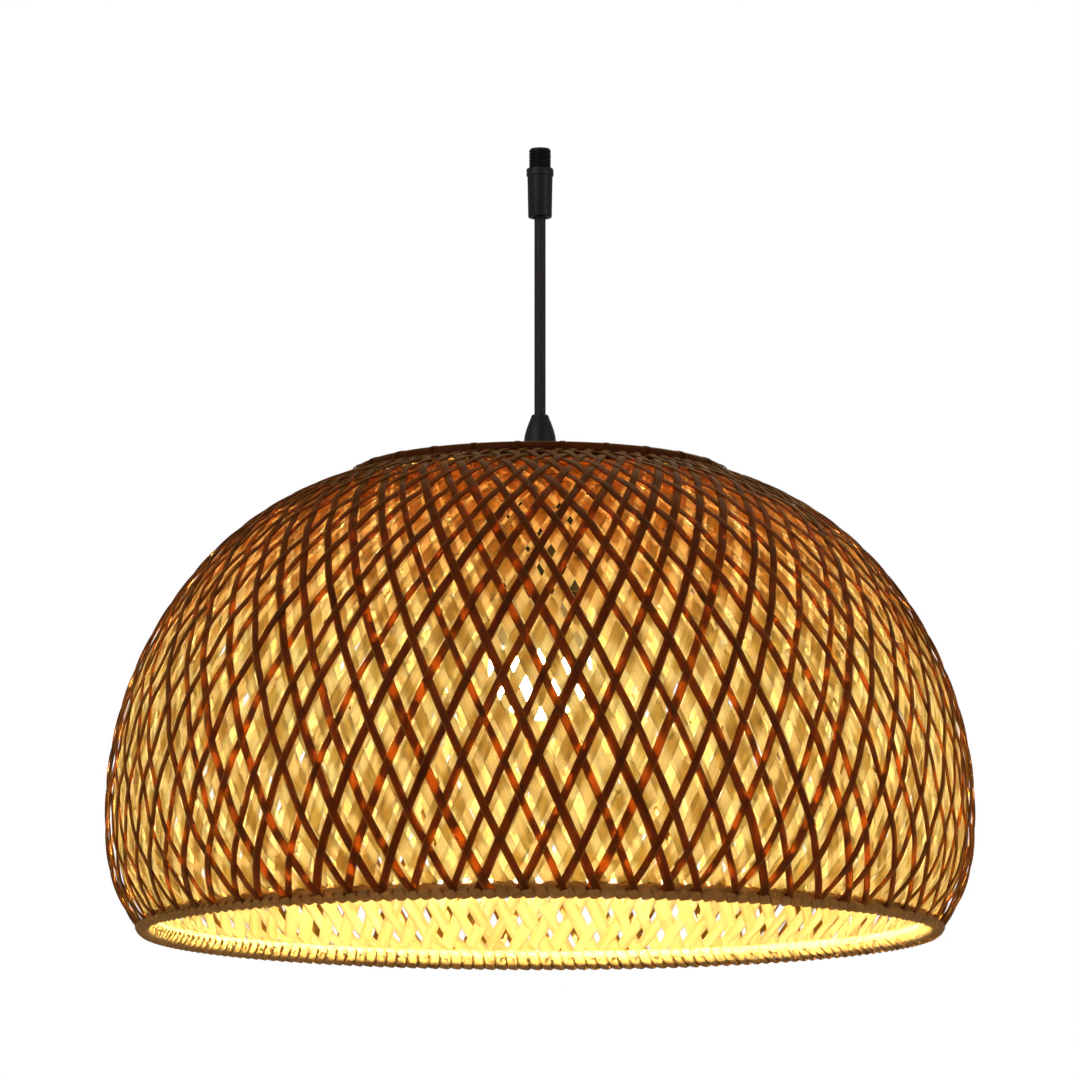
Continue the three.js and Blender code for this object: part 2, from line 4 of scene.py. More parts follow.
import bpy
import numpy as np
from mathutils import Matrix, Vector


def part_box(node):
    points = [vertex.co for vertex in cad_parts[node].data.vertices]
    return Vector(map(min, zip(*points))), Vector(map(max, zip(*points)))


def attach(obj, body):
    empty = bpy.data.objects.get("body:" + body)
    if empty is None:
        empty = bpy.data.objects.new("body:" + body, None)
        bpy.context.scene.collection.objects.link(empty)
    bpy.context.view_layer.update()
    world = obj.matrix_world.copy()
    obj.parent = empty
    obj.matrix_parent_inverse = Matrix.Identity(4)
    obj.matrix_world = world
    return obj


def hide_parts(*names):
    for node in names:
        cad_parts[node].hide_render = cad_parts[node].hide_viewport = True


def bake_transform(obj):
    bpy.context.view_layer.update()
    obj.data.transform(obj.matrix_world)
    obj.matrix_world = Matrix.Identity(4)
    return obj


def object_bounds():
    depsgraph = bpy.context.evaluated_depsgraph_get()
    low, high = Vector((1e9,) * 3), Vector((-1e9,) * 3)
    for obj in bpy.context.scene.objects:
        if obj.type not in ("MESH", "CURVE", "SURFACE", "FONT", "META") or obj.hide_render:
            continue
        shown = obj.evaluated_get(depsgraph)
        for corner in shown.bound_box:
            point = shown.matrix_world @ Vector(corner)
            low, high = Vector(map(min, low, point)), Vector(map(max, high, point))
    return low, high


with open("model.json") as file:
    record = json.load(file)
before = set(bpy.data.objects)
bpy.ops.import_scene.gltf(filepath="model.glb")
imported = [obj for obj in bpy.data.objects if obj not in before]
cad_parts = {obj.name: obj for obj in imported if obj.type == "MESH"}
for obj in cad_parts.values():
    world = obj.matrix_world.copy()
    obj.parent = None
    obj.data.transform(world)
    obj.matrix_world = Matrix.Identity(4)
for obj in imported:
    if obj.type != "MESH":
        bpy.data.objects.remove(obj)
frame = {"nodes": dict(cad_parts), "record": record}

bl_info = {
    "name": "Woven Bamboo Lamp Shade",
    "version": (1, 0, 0),
    "blender": (4, 5, 0),
    "location": "View3D > Sidebar > Lamp Shade",
    "description": "Models a hanging lamp shade of double woven bamboo round its packed frame",
    "category": "Object",
}

CAD_BOX = [list(corner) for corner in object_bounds()]
MM = 0.001
GAP = 0.3 * MM
FULL_TURN = 2 * math.pi

# ---------------------------------------------------------------- the dome's outline

DOME_ARCS = ((300, 17), (133, 33), (166, 46), (63, 37))  # radius in mm, sweep in degrees
DOME_BELLY = 190 * MM
DOME_HEIGHT = 214 * MM
LAYER_WALL = 1.6 * MM
LAYER_PINCH = 2.4 * MM
CROWN_RADIUS = 77 * MM
CAP_FLAT = 24 * MM
CAP_WALL = 1.6 * MM
CAP_OVERLAP = 6 * MM
RIM_TUCK = 1.6 * MM
RIM_HOOP = 4 * MM
HOOP_WIDTH = 6 * MM
HOOP_HEIGHT = 2.2 * MM
BINDING_DEPTH = 3 * MM
STRIP_GAP = 0.04 * MM  # between a strip and the middle of the weave, where it crosses another


def arc_table(samples=4000):
    """Radius, height, slope and length along the unscaled outline, from the crown down."""
    total = sum(radius * math.radians(sweep) for radius, sweep in DOME_ARCS)
    rows = []
    r = z = slope = length = 0.0
    for radius, sweep in DOME_ARCS:
        full = math.radians(sweep)
        turn = np.linspace(0, full, int(samples * radius * full / total), endpoint=False)
        rows.append(np.stack([
            r + radius * (np.sin(slope + turn) - math.sin(slope)),
            z + radius * (np.cos(slope + turn) - math.cos(slope)),
            slope + turn,
            length + radius * turn,
        ], axis=1))
        r += radius * (math.sin(slope + full) - math.sin(slope))
        z += radius * (math.cos(slope + full) - math.cos(slope))
        slope += full
        length += radius * full
    rows.append(np.array([[r, z, slope, length]]))
    return np.concatenate(rows)


ARCS = arc_table()
ACROSS = DOME_BELLY / ARCS[:, 0].max()
UP = DOME_HEIGHT / -ARCS[-1, 1]
SPAN = ARCS[-1, 3] * math.sqrt(ACROSS * UP)
SHARES = ARCS[:, 3] / ARCS[-1, 3]


def share_at(radius):
    """The share of the outline's length where the upper dome reaches a radius."""
    upper = SHARES < 0.6
    return float(np.interp(radius, ARCS[upper, 0] * ACROSS, SHARES[upper]))


CAP_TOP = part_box("crown_cap")[1][2]
DOME_TOP = CAP_TOP + LAYER_WALL + GAP - UP * np.interp(share_at(CAP_FLAT), SHARES, ARCS[:, 1])
CROWN_SHARE = share_at(CROWN_RADIUS)
RIM_SHARE = 1 - RIM_TUCK / SPAN
CROWN_DEPTH = LAYER_WALL + GAP + CAP_WALL + GAP
RIM_DEPTH = LAYER_WALL + GAP + RIM_HOOP + GAP


def dome(share, out=0.0):
    """Radius, height, and the outward normal's two parts, at shares of the outline."""
    share = np.asarray(share, float)
    slope = np.interp(share, SHARES, ARCS[:, 2])
    normal_r, normal_z = np.sin(slope) / ACROSS, np.cos(slope) / UP
    length = np.hypot(normal_r, normal_z)
    normal_r, normal_z = normal_r / length, normal_z / length
    beyond = np.maximum(share - 1, 0) * SPAN
    r = np.interp(share, SHARES, ARCS[:, 0]) * ACROSS + out * normal_r + beyond * normal_z
    z = DOME_TOP + np.interp(share, SHARES, ARCS[:, 1]) * UP + out * normal_z - beyond * normal_r
    return r, z, normal_r, normal_z


def inner_depth(share):
    """How deep the inner layer's outside lies under the outer layer's."""
    along = np.clip((np.asarray(share) - CROWN_SHARE) / (RIM_SHARE - CROWN_SHARE), 0, 1)
    return CROWN_DEPTH + (RIM_DEPTH - CROWN_DEPTH) * along - LAYER_PINCH * np.sin(math.pi * along)


# ---------------------------------------------------------------- sizes and colours


def length_setting(name, description, default_mm):
    return bpy.props.FloatProperty(
        name=name, description=description, default=default_mm * MM, min=0.0, precision=4,
        subtype="DISTANCE", unit="LENGTH",
    )


def count_setting(name, description, default, least=8):
    return bpy.props.IntProperty(name=name, description=description, default=default, min=least)


def share_setting(name, description, default, most):
    return bpy.props.FloatProperty(
        name=name, description=description, default=default, min=0.0, max=most, subtype="FACTOR",
    )


def colour_setting(name, description, default):
    return bpy.props.FloatVectorProperty(
        name=name, description=description, default=default, min=0.0, max=1.0, size=3, subtype="COLOR",
    )


class ShadeWeaveSettings(bpy.types.PropertyGroup):
    outer_count: count_setting("Outer Strips", "Strips of the outer layer in each direction", 74)
    inner_count: count_setting("Inner Strips", "Strips of the inner layer in each direction", 106)
    outer_width: length_setting("Outer Strip Width", "Width of an outer strip at the belly", 3.7)
    inner_width: length_setting("Inner Strip Width", "Width of an inner strip at the belly", 5.7)
    outer_thickness: length_setting("Outer Strip Thickness", "Thickness of an outer strip", 0.65)
    inner_thickness: length_setting("Inner Strip Thickness", "Thickness of an inner strip", 0.55)
    lay_angle: bpy.props.FloatProperty(
        name="Lay Angle", description="Angle at which a strip crosses the upright lines of the dome",
        default=math.radians(24), subtype="ANGLE", unit="ROTATION",
    )
    unevenness: share_setting("Unevenness", "How far a strip strays, as a share of the pitch", 0.075, 0.3)
    width_spread: share_setting("Width Spread", "How far the strips' widths differ", 0.1, 0.4)
    spokes: count_setting("Crown Spokes", "Radial strips of the crown's middle, an even number", 36)
    binding_turns: count_setting("Rim Turns", "Turns of the strip that is wound round the rim", 204, 24)
    lashings: count_setting("Crown Lashings", "Ties round the two crown hoops", 26, 4)


class ShadeFinishSettings(bpy.types.PropertyGroup):
    dark_bamboo: colour_setting("Outer Bamboo", "Colour of the outer strips", (0.17, 0.038, 0.006))
    honey_bamboo: colour_setting("Inner Bamboo", "Colour of the inner strips", (0.78, 0.61, 0.22))
    rattan: colour_setting("Rattan", "Colour of the rim binding and its hoop", (0.6, 0.31, 0.085))
    glow: colour_setting("Lamp Light", "Colour of the bulb's light", (1.0, 0.9, 0.57))
    glow_strength: bpy.props.FloatProperty(
        name="Lamp Strength", description="Brightness of the bulb's globe", default=1900.0, min=0.0,
    )


# ---------------------------------------------------------------- shader groups and materials


def set_inputs(made, **values):
    """Sets the defaults of a node's inputs, which are named with _ for a space."""
    for key, value in values.items():
        made.inputs[key.replace("_", " ")].default_value = value


def node(tree, kind, **values):
    """Adds a node. Values are its settings, or the defaults of its inputs."""
    made = tree.nodes.new(kind)
    for key, value in values.items():
        if hasattr(made, key):
            setattr(made, key, value)
        else:
            set_inputs(made, **{key: value})
    return made


def times(tree, vector, factors):
    """A vector multiplied part by part."""
    made = node(tree, "ShaderNodeVectorMath", operation="MULTIPLY")
    made.inputs[1].default_value = factors
    tree.links.new(vector, made.inputs[0])
    return made.outputs[0]


def parts_of(tree, vector):
    made = node(tree, "ShaderNodeSeparateXYZ")
    tree.links.new(vector, made.inputs[0])
    return made.outputs


def noise(tree, vector, **values):
    made = node(tree, "ShaderNodeTexNoise", **values)
    tree.links.new(vector, made.inputs["Vector"])
    return made


def object_place(tree):
    return node(tree, "ShaderNodeTexCoord").outputs["Object"]


def attribute(tree, name):
    return node(tree, "ShaderNodeAttribute", attribute_name=name).outputs["Fac"]


def maths(tree, operation, first, second):
    """A Math node. Each operand is a number or an output socket."""
    made = tree.nodes.new("ShaderNodeMath")
    made.operation = operation
    for slot, value in zip(made.inputs, (first, second)):
        if isinstance(value, (int, float)):
            slot.default_value = value
        else:
            tree.links.new(value, slot)
    return made.outputs[0]


def mixed(tree, factor, first, second, blend="MIX"):
    """A colour Mix node. Each operand is a colour or an output socket."""
    made = tree.nodes.new("ShaderNodeMix")
    made.data_type = "RGBA"
    made.blend_type = blend
    for slot, value in zip((made.inputs[0], made.inputs[6], made.inputs[7]), (factor, first, second)):
        if isinstance(value, bpy.types.NodeSocket):
            tree.links.new(value, slot)
        else:
            slot.default_value = value
    return made.outputs[2]


def ramp(tree, factor, low, high):
    """Stretches a mask so that low becomes 0 and high becomes 1."""
    made = tree.nodes.new("ShaderNodeMapRange")
    made.inputs["From Min"].default_value = low
    made.inputs["From Max"].default_value = high
    tree.links.new(factor, made.inputs["Value"])
    return made.outputs["Result"]


def new_group(name, inputs, outputs):
    """A shader group, with the sockets that it is given and those that it answers with."""
    group = bpy.data.node_groups.new(name, "ShaderNodeTree")
    for way, sockets in (("INPUT", inputs), ("OUTPUT", outputs)):
        for label, kind in sockets.items():
            group.interface.new_socket(name=label, in_out=way, socket_type="NodeSocket" + kind)
    given, result = group.nodes.new("NodeGroupInput"), group.nodes.new("NodeGroupOutput")
    return group, given.outputs, result.inputs


def split_bamboo_group():
    """Fibres, blotches and joint marks of a split strip. Vector is across it and along it in metres."""
    group, given, result = new_group(
        "Split Bamboo",
        {"Vector": "Vector", "Place": "Vector", "Tone": "Float", "Base": "Color", "Dark": "Color",
         "Contrast": "Float"},
        {"Color": "Color", "Mask": "Float", "Roughness": "Float", "Height": "Float"},
    )
    stretched = times(group, given["Vector"], (11.0, 42.0, 1.0))
    fibre = noise(group, stretched, Scale=1.0, Detail=4.0, Roughness=0.62)
    blotch = noise(group, given["Place"], Scale=26.0, Detail=2.0)

    # A dark ring where the cane had a joint, at a different place on each strip
    joints = maths(group, "MULTIPLY", parts_of(group, given["Vector"])["Y"], 3.4)
    shifted = maths(group, "ADD", joints, maths(group, "MULTIPLY", given["Tone"], 7.0))
    nearest = maths(group, "PINGPONG", shifted, 0.5)
    joint = ramp(group, nearest, 0.016, 0.006)

    fibres = ramp(group, fibre.outputs["Fac"], 0.36, 0.68)
    blotches = ramp(group, blotch.outputs["Fac"], 0.35, 0.7)
    shade = maths(group, "MULTIPLY", fibres, 0.5)
    shade = maths(group, "ADD", shade, maths(group, "MULTIPLY", blotches, 0.3))
    shade = maths(group, "ADD", shade, maths(group, "MULTIPLY", given["Tone"], 0.4))
    shade = maths(group, "MULTIPLY", shade, given["Contrast"])
    shade = maths(group, "MAXIMUM", shade, maths(group, "MULTIPLY", joint, 0.8))
    limited = maths(group, "MINIMUM", shade, 1.0)
    colour = mixed(group, limited, given["Base"], given["Dark"])
    group.links.new(colour, result["Color"])
    group.links.new(limited, result["Mask"])
    rough = maths(group, "ADD", maths(group, "MULTIPLY", fibres, 0.22), 0.4)
    group.links.new(rough, result["Roughness"])
    height = maths(group, "SUBTRACT", maths(group, "MULTIPLY", joint, 1.5), fibres)
    group.links.new(height, result["Height"])
    return group


def surface_wear_group():
    """Fine mottling and rub marks for moulded and metal pieces."""
    group, given, result = new_group(
        "Surface Wear",
        {"Vector": "Vector", "Base": "Color", "Worn": "Color", "Grain Scale": "Float",
         "Roughness": "Float", "Spread": "Float"},
        {"Color": "Color", "Roughness": "Float", "Height": "Float"},
    )
    grain = noise(group, given["Vector"], Detail=3.0, Roughness=0.6)
    group.links.new(given["Grain Scale"], grain.inputs["Scale"])
    cloud = noise(group, given["Vector"], Scale=70.0, Detail=4.0, Roughness=0.7)
    worn = ramp(group, cloud.outputs["Fac"], 0.5, 0.75)
    colour = mixed(group, maths(group, "MULTIPLY", worn, 0.6), given["Base"], given["Worn"])
    group.links.new(colour, result["Color"])
    swing = maths(group, "SUBTRACT", cloud.outputs["Fac"], 0.5)
    swing = maths(group, "MULTIPLY", swing, given["Spread"])
    group.links.new(maths(group, "ADD", given["Roughness"], swing), result["Roughness"])
    group.links.new(grain.outputs["Fac"], result["Height"])
    return group


def placed_group(tree, name, build, **values):
    """A node of that shader group, which is built when it is first asked for."""
    made = node(tree, "ShaderNodeGroup")
    made.node_tree = bpy.data.node_groups.get(name) or build()
    set_inputs(made, **values)
    return made


def new_material(name):
    material = bpy.data.materials.new(name)
    material.use_nodes = True
    return material, material.node_tree, material.node_tree.nodes["Principled BSDF"]


def rgba(colour, by=1.0):
    return tuple(min(1.0, part * by) for part in colour[:3]) + (1.0,)


def deeper(colour, by):
    """A darker and redder shade of a colour, as bamboo darkens."""
    return (colour[0] * by ** 0.7, colour[1] * by, colour[2] * by ** 1.4, 1.0)


def add_bump(tree, height, shader, strength, distance):
    bump = node(tree, "ShaderNodeBump", Strength=strength, Distance=distance)
    tree.links.new(height, bump.inputs["Height"])
    tree.links.new(bump.outputs["Normal"], shader.inputs["Normal"])


def through_colour(tree, place, mask, through):
    """The colour that light takes on inside a strip, with painted shade towards the crown."""
    tinted = mixed(tree, mask, rgba(through), deeper(through, 0.6))
    # Darker towards the crown: partly the closer-lying strips, partly painted shade for the upper zone,
    # which lies farther from the bulb and behind the lampholder
    high = ramp(tree, parts_of(tree, place)["Z"], -0.235, -0.15)
    tinted = mixed(tree, maths(tree, "MULTIPLY", high, 0.8), tinted, (0.72, 0.4, 0.14, 1.0), "MULTIPLY")
    # The crown's middle is the densest, and nearly shuts the light in
    from_axis = node(tree, "ShaderNodeVectorMath", operation="LENGTH")
    tree.links.new(times(tree, place, (1.0, 1.0, 0.0)), from_axis.inputs[0])
    middle = ramp(tree, from_axis.outputs["Value"], CROWN_RADIUS + 1 * MM, CROWN_RADIUS - 4 * MM)
    return mixed(tree, middle, tinted, (0.42, 0.6, 0.7, 1.0), "MULTIPLY")


def bamboo_material(name, base, dark, through, share, contrast=1.0, sheen=0.4, flesh_and_painted_light=None, fuzz=0.0):
    """A split strip that lets a share of the light through, in the colour called through.

    Its skin is dyed. Flesh is the colour of the side that faces inwards, if that is paler. On the rim
    binding that paler inner side is painted light, as bright as the lamp-lit wall above it.
    """
    material, tree, shader = new_material(name)
    place = object_place(tree)
    grain = placed_group(
        tree, "Split Bamboo", split_bamboo_group, Base=base, Dark=dark, Contrast=contrast,
    )
    strip = node(tree, "ShaderNodeUVMap", uv_map="strip")
    tree.links.new(strip.outputs["UV"], grain.inputs["Vector"])
    tree.links.new(place, grain.inputs["Place"])
    tree.links.new(attribute(tree, "tone"), grain.inputs["Tone"])
    colour = grain.outputs["Color"]
    if flesh_and_painted_light:
        # The paler inward side: the bamboo's flesh, and painted light on the rim binding
        pale = mixed(tree, grain.outputs["Mask"], rgba(flesh_and_painted_light), deeper(flesh_and_painted_light, 0.55))
        colour = mixed(tree, ramp(tree, attribute(tree, "skin"), 0.25, 0.55), pale, colour)
    tree.links.new(colour, shader.inputs["Base Color"])
    tree.links.new(grain.outputs["Roughness"], shader.inputs["Roughness"])
    set_inputs(shader, Specular_IOR_Level=sheen)
    if fuzz:
        set_inputs(shader, Sheen_Weight=fuzz, Sheen_Roughness=0.4, Sheen_Tint=(1.0, 0.52, 0.1, 1.0))
    leak = node(tree, "ShaderNodeBsdfTranslucent")
    tree.links.new(through_colour(tree, place, grain.outputs["Mask"], through), leak.inputs["Color"])
    add_bump(tree, grain.outputs["Height"], shader, 0.5, 0.2 * MM)
    both = node(tree, "ShaderNodeMixShader", Fac=share)
    tree.links.new(shader.outputs[0], both.inputs[1])
    tree.links.new(leak.outputs[0], both.inputs[2])
    tree.links.new(both.outputs[0], tree.nodes["Material Output"].inputs["Surface"])
    return material


def hard_material(name, base, worn, roughness, metallic, scale, spread, bump):
    """Moulded plastic, glazed or metal pieces."""
    material, tree, shader = new_material(name)
    wear = placed_group(
        tree, "Surface Wear", surface_wear_group,
        Base=base, Worn=worn, Grain_Scale=scale, Roughness=roughness, Spread=spread,
    )
    tree.links.new(object_place(tree), wear.inputs["Vector"])
    tree.links.new(wear.outputs["Color"], shader.inputs["Base Color"])
    tree.links.new(wear.outputs["Roughness"], shader.inputs["Roughness"])
    is_black = max(base[:3]) < 0.1
    set_inputs(shader, Metallic=metallic, Specular_IOR_Level=0.3 if is_black else 0.5)
    add_bump(tree, wear.outputs["Height"], shader, bump, 0.05 * MM)
    return material


def lit_material(name, colour, strength):
    """The opal globe, faintly mottled, and its light."""
    material, tree, shader = new_material(name)
    speckle = noise(tree, object_place(tree), Scale=160.0, Detail=2.0)
    even = ramp(tree, speckle.outputs["Fac"], -1.5, 0.9)
    shown = mixed(tree, even, (0.9, 0.84, 0.74, 1.0), (1.0, 0.97, 0.9, 1.0))
    tree.links.new(shown, shader.inputs["Base Color"])
    set_inputs(shader, Roughness=0.35, Emission_Color=colour, Emission_Strength=strength)
    return material


# Base, worn colour, roughness, metallic, grain scale, spread, bump
HARD_FINISHES = {
    "black_plastic": ((0.005, 0.005, 0.005, 1), (0.015, 0.014, 0.013, 1), 0.45, 0.0, 1400.0, 0.3, 0.25),
    "black_steel": ((0.016, 0.016, 0.016, 1), (0.04, 0.038, 0.036, 1), 0.38, 0.3, 1100.0, 0.25, 0.3),
    "cord_sheath": ((0.017, 0.016, 0.015, 1), (0.035, 0.032, 0.03, 1), 0.55, 0.0, 700.0, 0.3, 0.3),
    "brass": ((0.72, 0.52, 0.22, 1), (0.42, 0.27, 0.1, 1), 0.28, 1.0, 800.0, 0.35, 0.1),
    "steel": ((0.56, 0.57, 0.59, 1), (0.34, 0.34, 0.35, 1), 0.32, 1.0, 900.0, 0.35, 0.15),
    "ceramic": ((0.84, 0.81, 0.75, 1), (0.7, 0.66, 0.58, 1), 0.22, 0.0, 500.0, 0.15, 0.1),
    "lead_brown": ((0.16, 0.065, 0.03, 1), (0.1, 0.04, 0.02, 1), 0.45, 0.0, 600.0, 0.2, 0.1),
    "lead_blue": ((0.02, 0.09, 0.36, 1), (0.015, 0.06, 0.25, 1), 0.45, 0.0, 600.0, 0.2, 0.1),
    "white_plastic": ((0.82, 0.81, 0.78, 1), (0.68, 0.66, 0.6, 1), 0.36, 0.0, 900.0, 0.2, 0.1),
    "circuit_board": ((0.74, 0.74, 0.7, 1), (0.5, 0.5, 0.44, 1), 0.5, 0.0, 600.0, 0.2, 0.1),
    "led_phosphor": ((0.92, 0.68, 0.12, 1), (0.8, 0.5, 0.08, 1), 0.4, 0.0, 900.0, 0.2, 0.1),
}


def finish_named(name):
    """The material of that slot, made when it is first asked for."""
    label = name + "_finish"
    known = bpy.data.materials.get(label)
    if known:
        return known
    colours = bpy.context.scene.shade_finish
    if name in HARD_FINISHES:
        return hard_material(label, *HARD_FINISHES[name])
    if name == "bamboo_dark":
        base = colours.dark_bamboo
        return bamboo_material(
            label, rgba(base), rgba(base, 0.35), through=(0.55, 0.22, 0.036), share=0.5,
            sheen=0.08, flesh_and_painted_light=(0.55, 0.32, 0.08), fuzz=0.9,
        )
    if name == "bamboo_honey":
        base = colours.honey_bamboo
        return bamboo_material(
            label, rgba(base, 1.1), deeper(base, 0.6), through=(0.98, 0.93, 0.68), share=0.9, contrast=1.1,
        )
    if name == "rattan":
        base = colours.rattan
        # Its paler inside colour is painted light, shown on the inner side of the rim binding
        return bamboo_material(
            label, rgba(base), deeper(base, 0.5), through=(0.9, 0.6, 0.24), share=0.45,
            sheen=0.2, flesh_and_painted_light=(0.6, 0.42, 0.13),
        )
    if name == "opal_diffuser":
        return lit_material(label, rgba(colours.glow), colours.glow_strength)
    raise RuntimeError(f"no finish is made for the slot {name}")


# ---------------------------------------------------------------- modelling helpers


def deselect():
    if bpy.context.object and bpy.context.object.mode != "OBJECT":
        bpy.ops.object.mode_set(mode="OBJECT")
    bpy.ops.object.select_all(action="DESELECT")


def settle(piece, name, body, slot, *replaced):
    """Names a finished piece, gives it its finish and lets it ride on its body."""
    deselect()
    piece.name = name
    piece.data.name = name
    piece.data.materials.clear()
    piece.data.materials.append(finish_named(slot))
    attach(piece, body)
    if replaced:
        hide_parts(*replaced)
    return piece


def edit_all():
    """Enters edit mode with everything selected."""
    bpy.ops.object.mode_set(mode="EDIT")
    bpy.ops.mesh.select_all(action="SELECT")


def leave_edit(smooth_angle):
    """Turns all faces outwards, leaves edit mode and smooths the edges that are blunter than an angle."""
    bpy.ops.mesh.select_all(action="SELECT")
    bpy.ops.mesh.normals_make_consistent(inside=False)
    bpy.ops.object.mode_set(mode="OBJECT")
    bpy.ops.object.shade_smooth_by_angle(angle=math.radians(smooth_angle))


def extrude(across, up):
    bpy.ops.mesh.extrude_region_move(TRANSFORM_OT_translate={"value": (across, 0, up)})


def spun(outline, steps=72, smooth_angle=35):
    """A turned piece: the outline of (radius, height) is drawn edge by edge and spun about the axis."""
    deselect()
    bpy.ops.mesh.primitive_plane_add(size=MM, location=(0, 0, 0))
    piece = bpy.context.object
    edit_all()
    bpy.ops.mesh.merge(type="CENTER")
    bpy.ops.transform.translate(value=(outline[0][0], 0, outline[0][1]))
    for (r, z), (next_r, next_z) in zip(outline, outline[1:]):
        extrude(next_r - r, next_z - z)
    bpy.ops.mesh.select_all(action="SELECT")
    bpy.ops.mesh.spin(steps=steps, angle=FULL_TURN, center=(0, 0, 0), axis=(0, 0, 1))
    bpy.ops.mesh.select_all(action="SELECT")
    bpy.ops.mesh.remove_doubles(threshold=0.004 * MM)
    leave_edit(smooth_angle)
    return piece


def closed(outline):
    return list(outline) + [outline[0]]


def screw_hole(piece, screw, clearance):
    """Cuts the round hole of a press screw through one side of a turned piece."""
    low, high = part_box(screw)
    depth = 6 * MM
    deselect()
    bpy.ops.mesh.primitive_cylinder_add(
        radius=(high[0] - low[0]) / 2 + clearance, depth=depth, vertices=32,
        location=(0, CORD_RADIUS + depth / 2, (low[2] + high[2]) / 2), rotation=(math.pi / 2, 0, 0),
    )
    drill = bpy.context.object
    deselect()
    bpy.context.view_layer.objects.active = piece
    piece.select_set(True)
    bored = piece.modifiers.new("bore", "BOOLEAN")
    bored.operation = "DIFFERENCE"
    bored.object = drill
    bpy.ops.object.modifier_apply(modifier=bored.name)
    bpy.ops.object.shade_smooth_by_angle(angle=math.radians(35))
    bpy.data.objects.remove(drill, do_unlink=True)


def arc(middle, radius, start, end, steps=6, rise=None):
    """Points of an arc in an outline, angles in degrees from the outward direction.

    With a rise, which is its half height, the arc is oval.
    """
    angles = np.radians(np.linspace(start, end, steps + 1))
    rise = radius if rise is None else rise
    return [(middle[0] + radius * math.cos(a), middle[1] + rise * math.sin(a)) for a in angles]


# Sections of a strip, across it and through it, as shares of its width and thickness
CROWNED = np.array([(-0.5, 0.0), (-0.3, -0.5), (0.3, -0.5), (0.5, 0.0), (0.3, 0.5), (-0.3, 0.5)])
PLAIN = np.array([(-0.5, -0.5), (0.5, -0.5), (0.5, 0.5), (-0.5, 0.5)])


def set_points(mesh, name, values):
    """Writes one number for each point of a mesh, which the shaders read by that name."""
    held = mesh.attributes.get(name) or mesh.attributes.new(name, "FLOAT", "POINT")
    held.data.foreach_set("value", np.asarray(values, np.float32).ravel())


def set_strip_map(mesh, laid):
    """Lays the UV map that holds the place across a strip and along it."""
    mesh.uv_layers.new(name="strip").data.foreach_set("uv", laid.astype(np.float32).ravel())


def strip_faces(count, steps, corners, ring):
    """The quads of strips whose points are numbered by strip, then by step, then by corner."""
    strip = np.arange(count)[:, None, None]
    along = np.arange(steps if ring else steps - 1)[None, :, None]
    corner = np.arange(corners)[None, None, :]
    beside = (corner + 1) % corners
    onward = (along + 1) % steps

    def index(step_of, corner_of):
        return (strip * steps + step_of) * corners + corner_of

    sides = np.stack(np.broadcast_arrays(
        index(along, corner), index(along, beside), index(onward, beside), index(onward, corner),
    ), axis=-1).reshape(-1, 4)
    faces = [sides]
    if not ring:
        fans = [(0, 1, 2, 3), (0, 3, 4, 5)] if corners == 6 else [(0, 1, 2, 3)]
        for at, order in ((0, -1), (steps - 1, 1)):
            ends = index(at, np.array(fans))
            faces.append(ends.reshape(-1, 4)[:, ::order])
    return np.concatenate(faces)


def facing_out(points, quads):
    """The quads, turned over if the volume that they enclose comes out negative."""
    a, b, c, d = (points[quads[:, corner]] for corner in range(4))
    volume = np.einsum("ij,ij->i", a, np.cross(b, c) + np.cross(c, d)).sum()
    return quads[:, ::-1] if volume < 0 else quads


def quad_mesh(name, points, quads):
    """A smooth mesh of quads."""
    mesh = bpy.data.meshes.new(name)
    mesh.vertices.add(len(points))
    mesh.vertices.foreach_set("co", points.astype(np.float32).ravel())
    mesh.loops.add(quads.size)
    mesh.loops.foreach_set("vertex_index", quads.astype(np.int32).ravel())
    mesh.polygons.add(len(quads))
    mesh.polygons.foreach_set("loop_start", np.arange(0, quads.size, 4, dtype=np.int32))
    mesh.update(calc_edges=True)
    mesh.polygons.foreach_set("use_smooth", np.ones(len(quads), bool))
    return mesh


def strips(name, centre, normal, width, thickness, section=CROWNED, ring=False, seed=0):
    """One mesh of many strips. Centre and normal are arrays of strips by steps by 3."""
    count, steps, _ = centre.shape
    corners = len(section)
    ahead = np.gradient(centre, axis=1)
    if ring:
        ahead = np.roll(centre, -1, axis=1) - np.roll(centre, 1, axis=1)
    ahead /= np.linalg.norm(ahead, axis=2, keepdims=True)
    across = np.cross(ahead, normal)
    across /= np.linalg.norm(across, axis=2, keepdims=True)
    upward = np.cross(across, ahead)
    width = np.broadcast_to(width, (count, steps))
    points = (
        centre[:, :, None, :]
        + across[:, :, None, :] * (width[:, :, None] * section[:, 0])[..., None]
        + upward[:, :, None, :] * (thickness * section[:, 1])[None, None, :, None]
    ).reshape(-1, 3)
    quads = facing_out(points, strip_faces(count, steps, corners, ring))

    step = np.linalg.norm(np.diff(centre, axis=1), axis=2)
    run = np.concatenate([np.zeros((count, 1)), np.cumsum(step, axis=1)], axis=1)
    dice = np.random.default_rng(seed)
    run += dice.uniform(0, 40, (count, 1))
    tone = dice.uniform(0, 1, (count, 1))

    def at_points(values):
        return np.broadcast_to(values, (count, steps, corners)).ravel()

    mesh = quad_mesh(name, points, quads)
    laid = np.stack([at_points(section[:, 0] + 0.5), at_points(run[:, :, None])], axis=1)
    set_strip_map(mesh, laid[quads.ravel()])
    set_points(mesh, "tone", at_points(tone[:, :, None]))
    set_points(mesh, "skin", at_points(section[:, 1] + 0.5))
    mesh.validate()
    piece = bpy.data.objects.new(name, mesh)
    bpy.context.collection.objects.link(piece)
    return piece


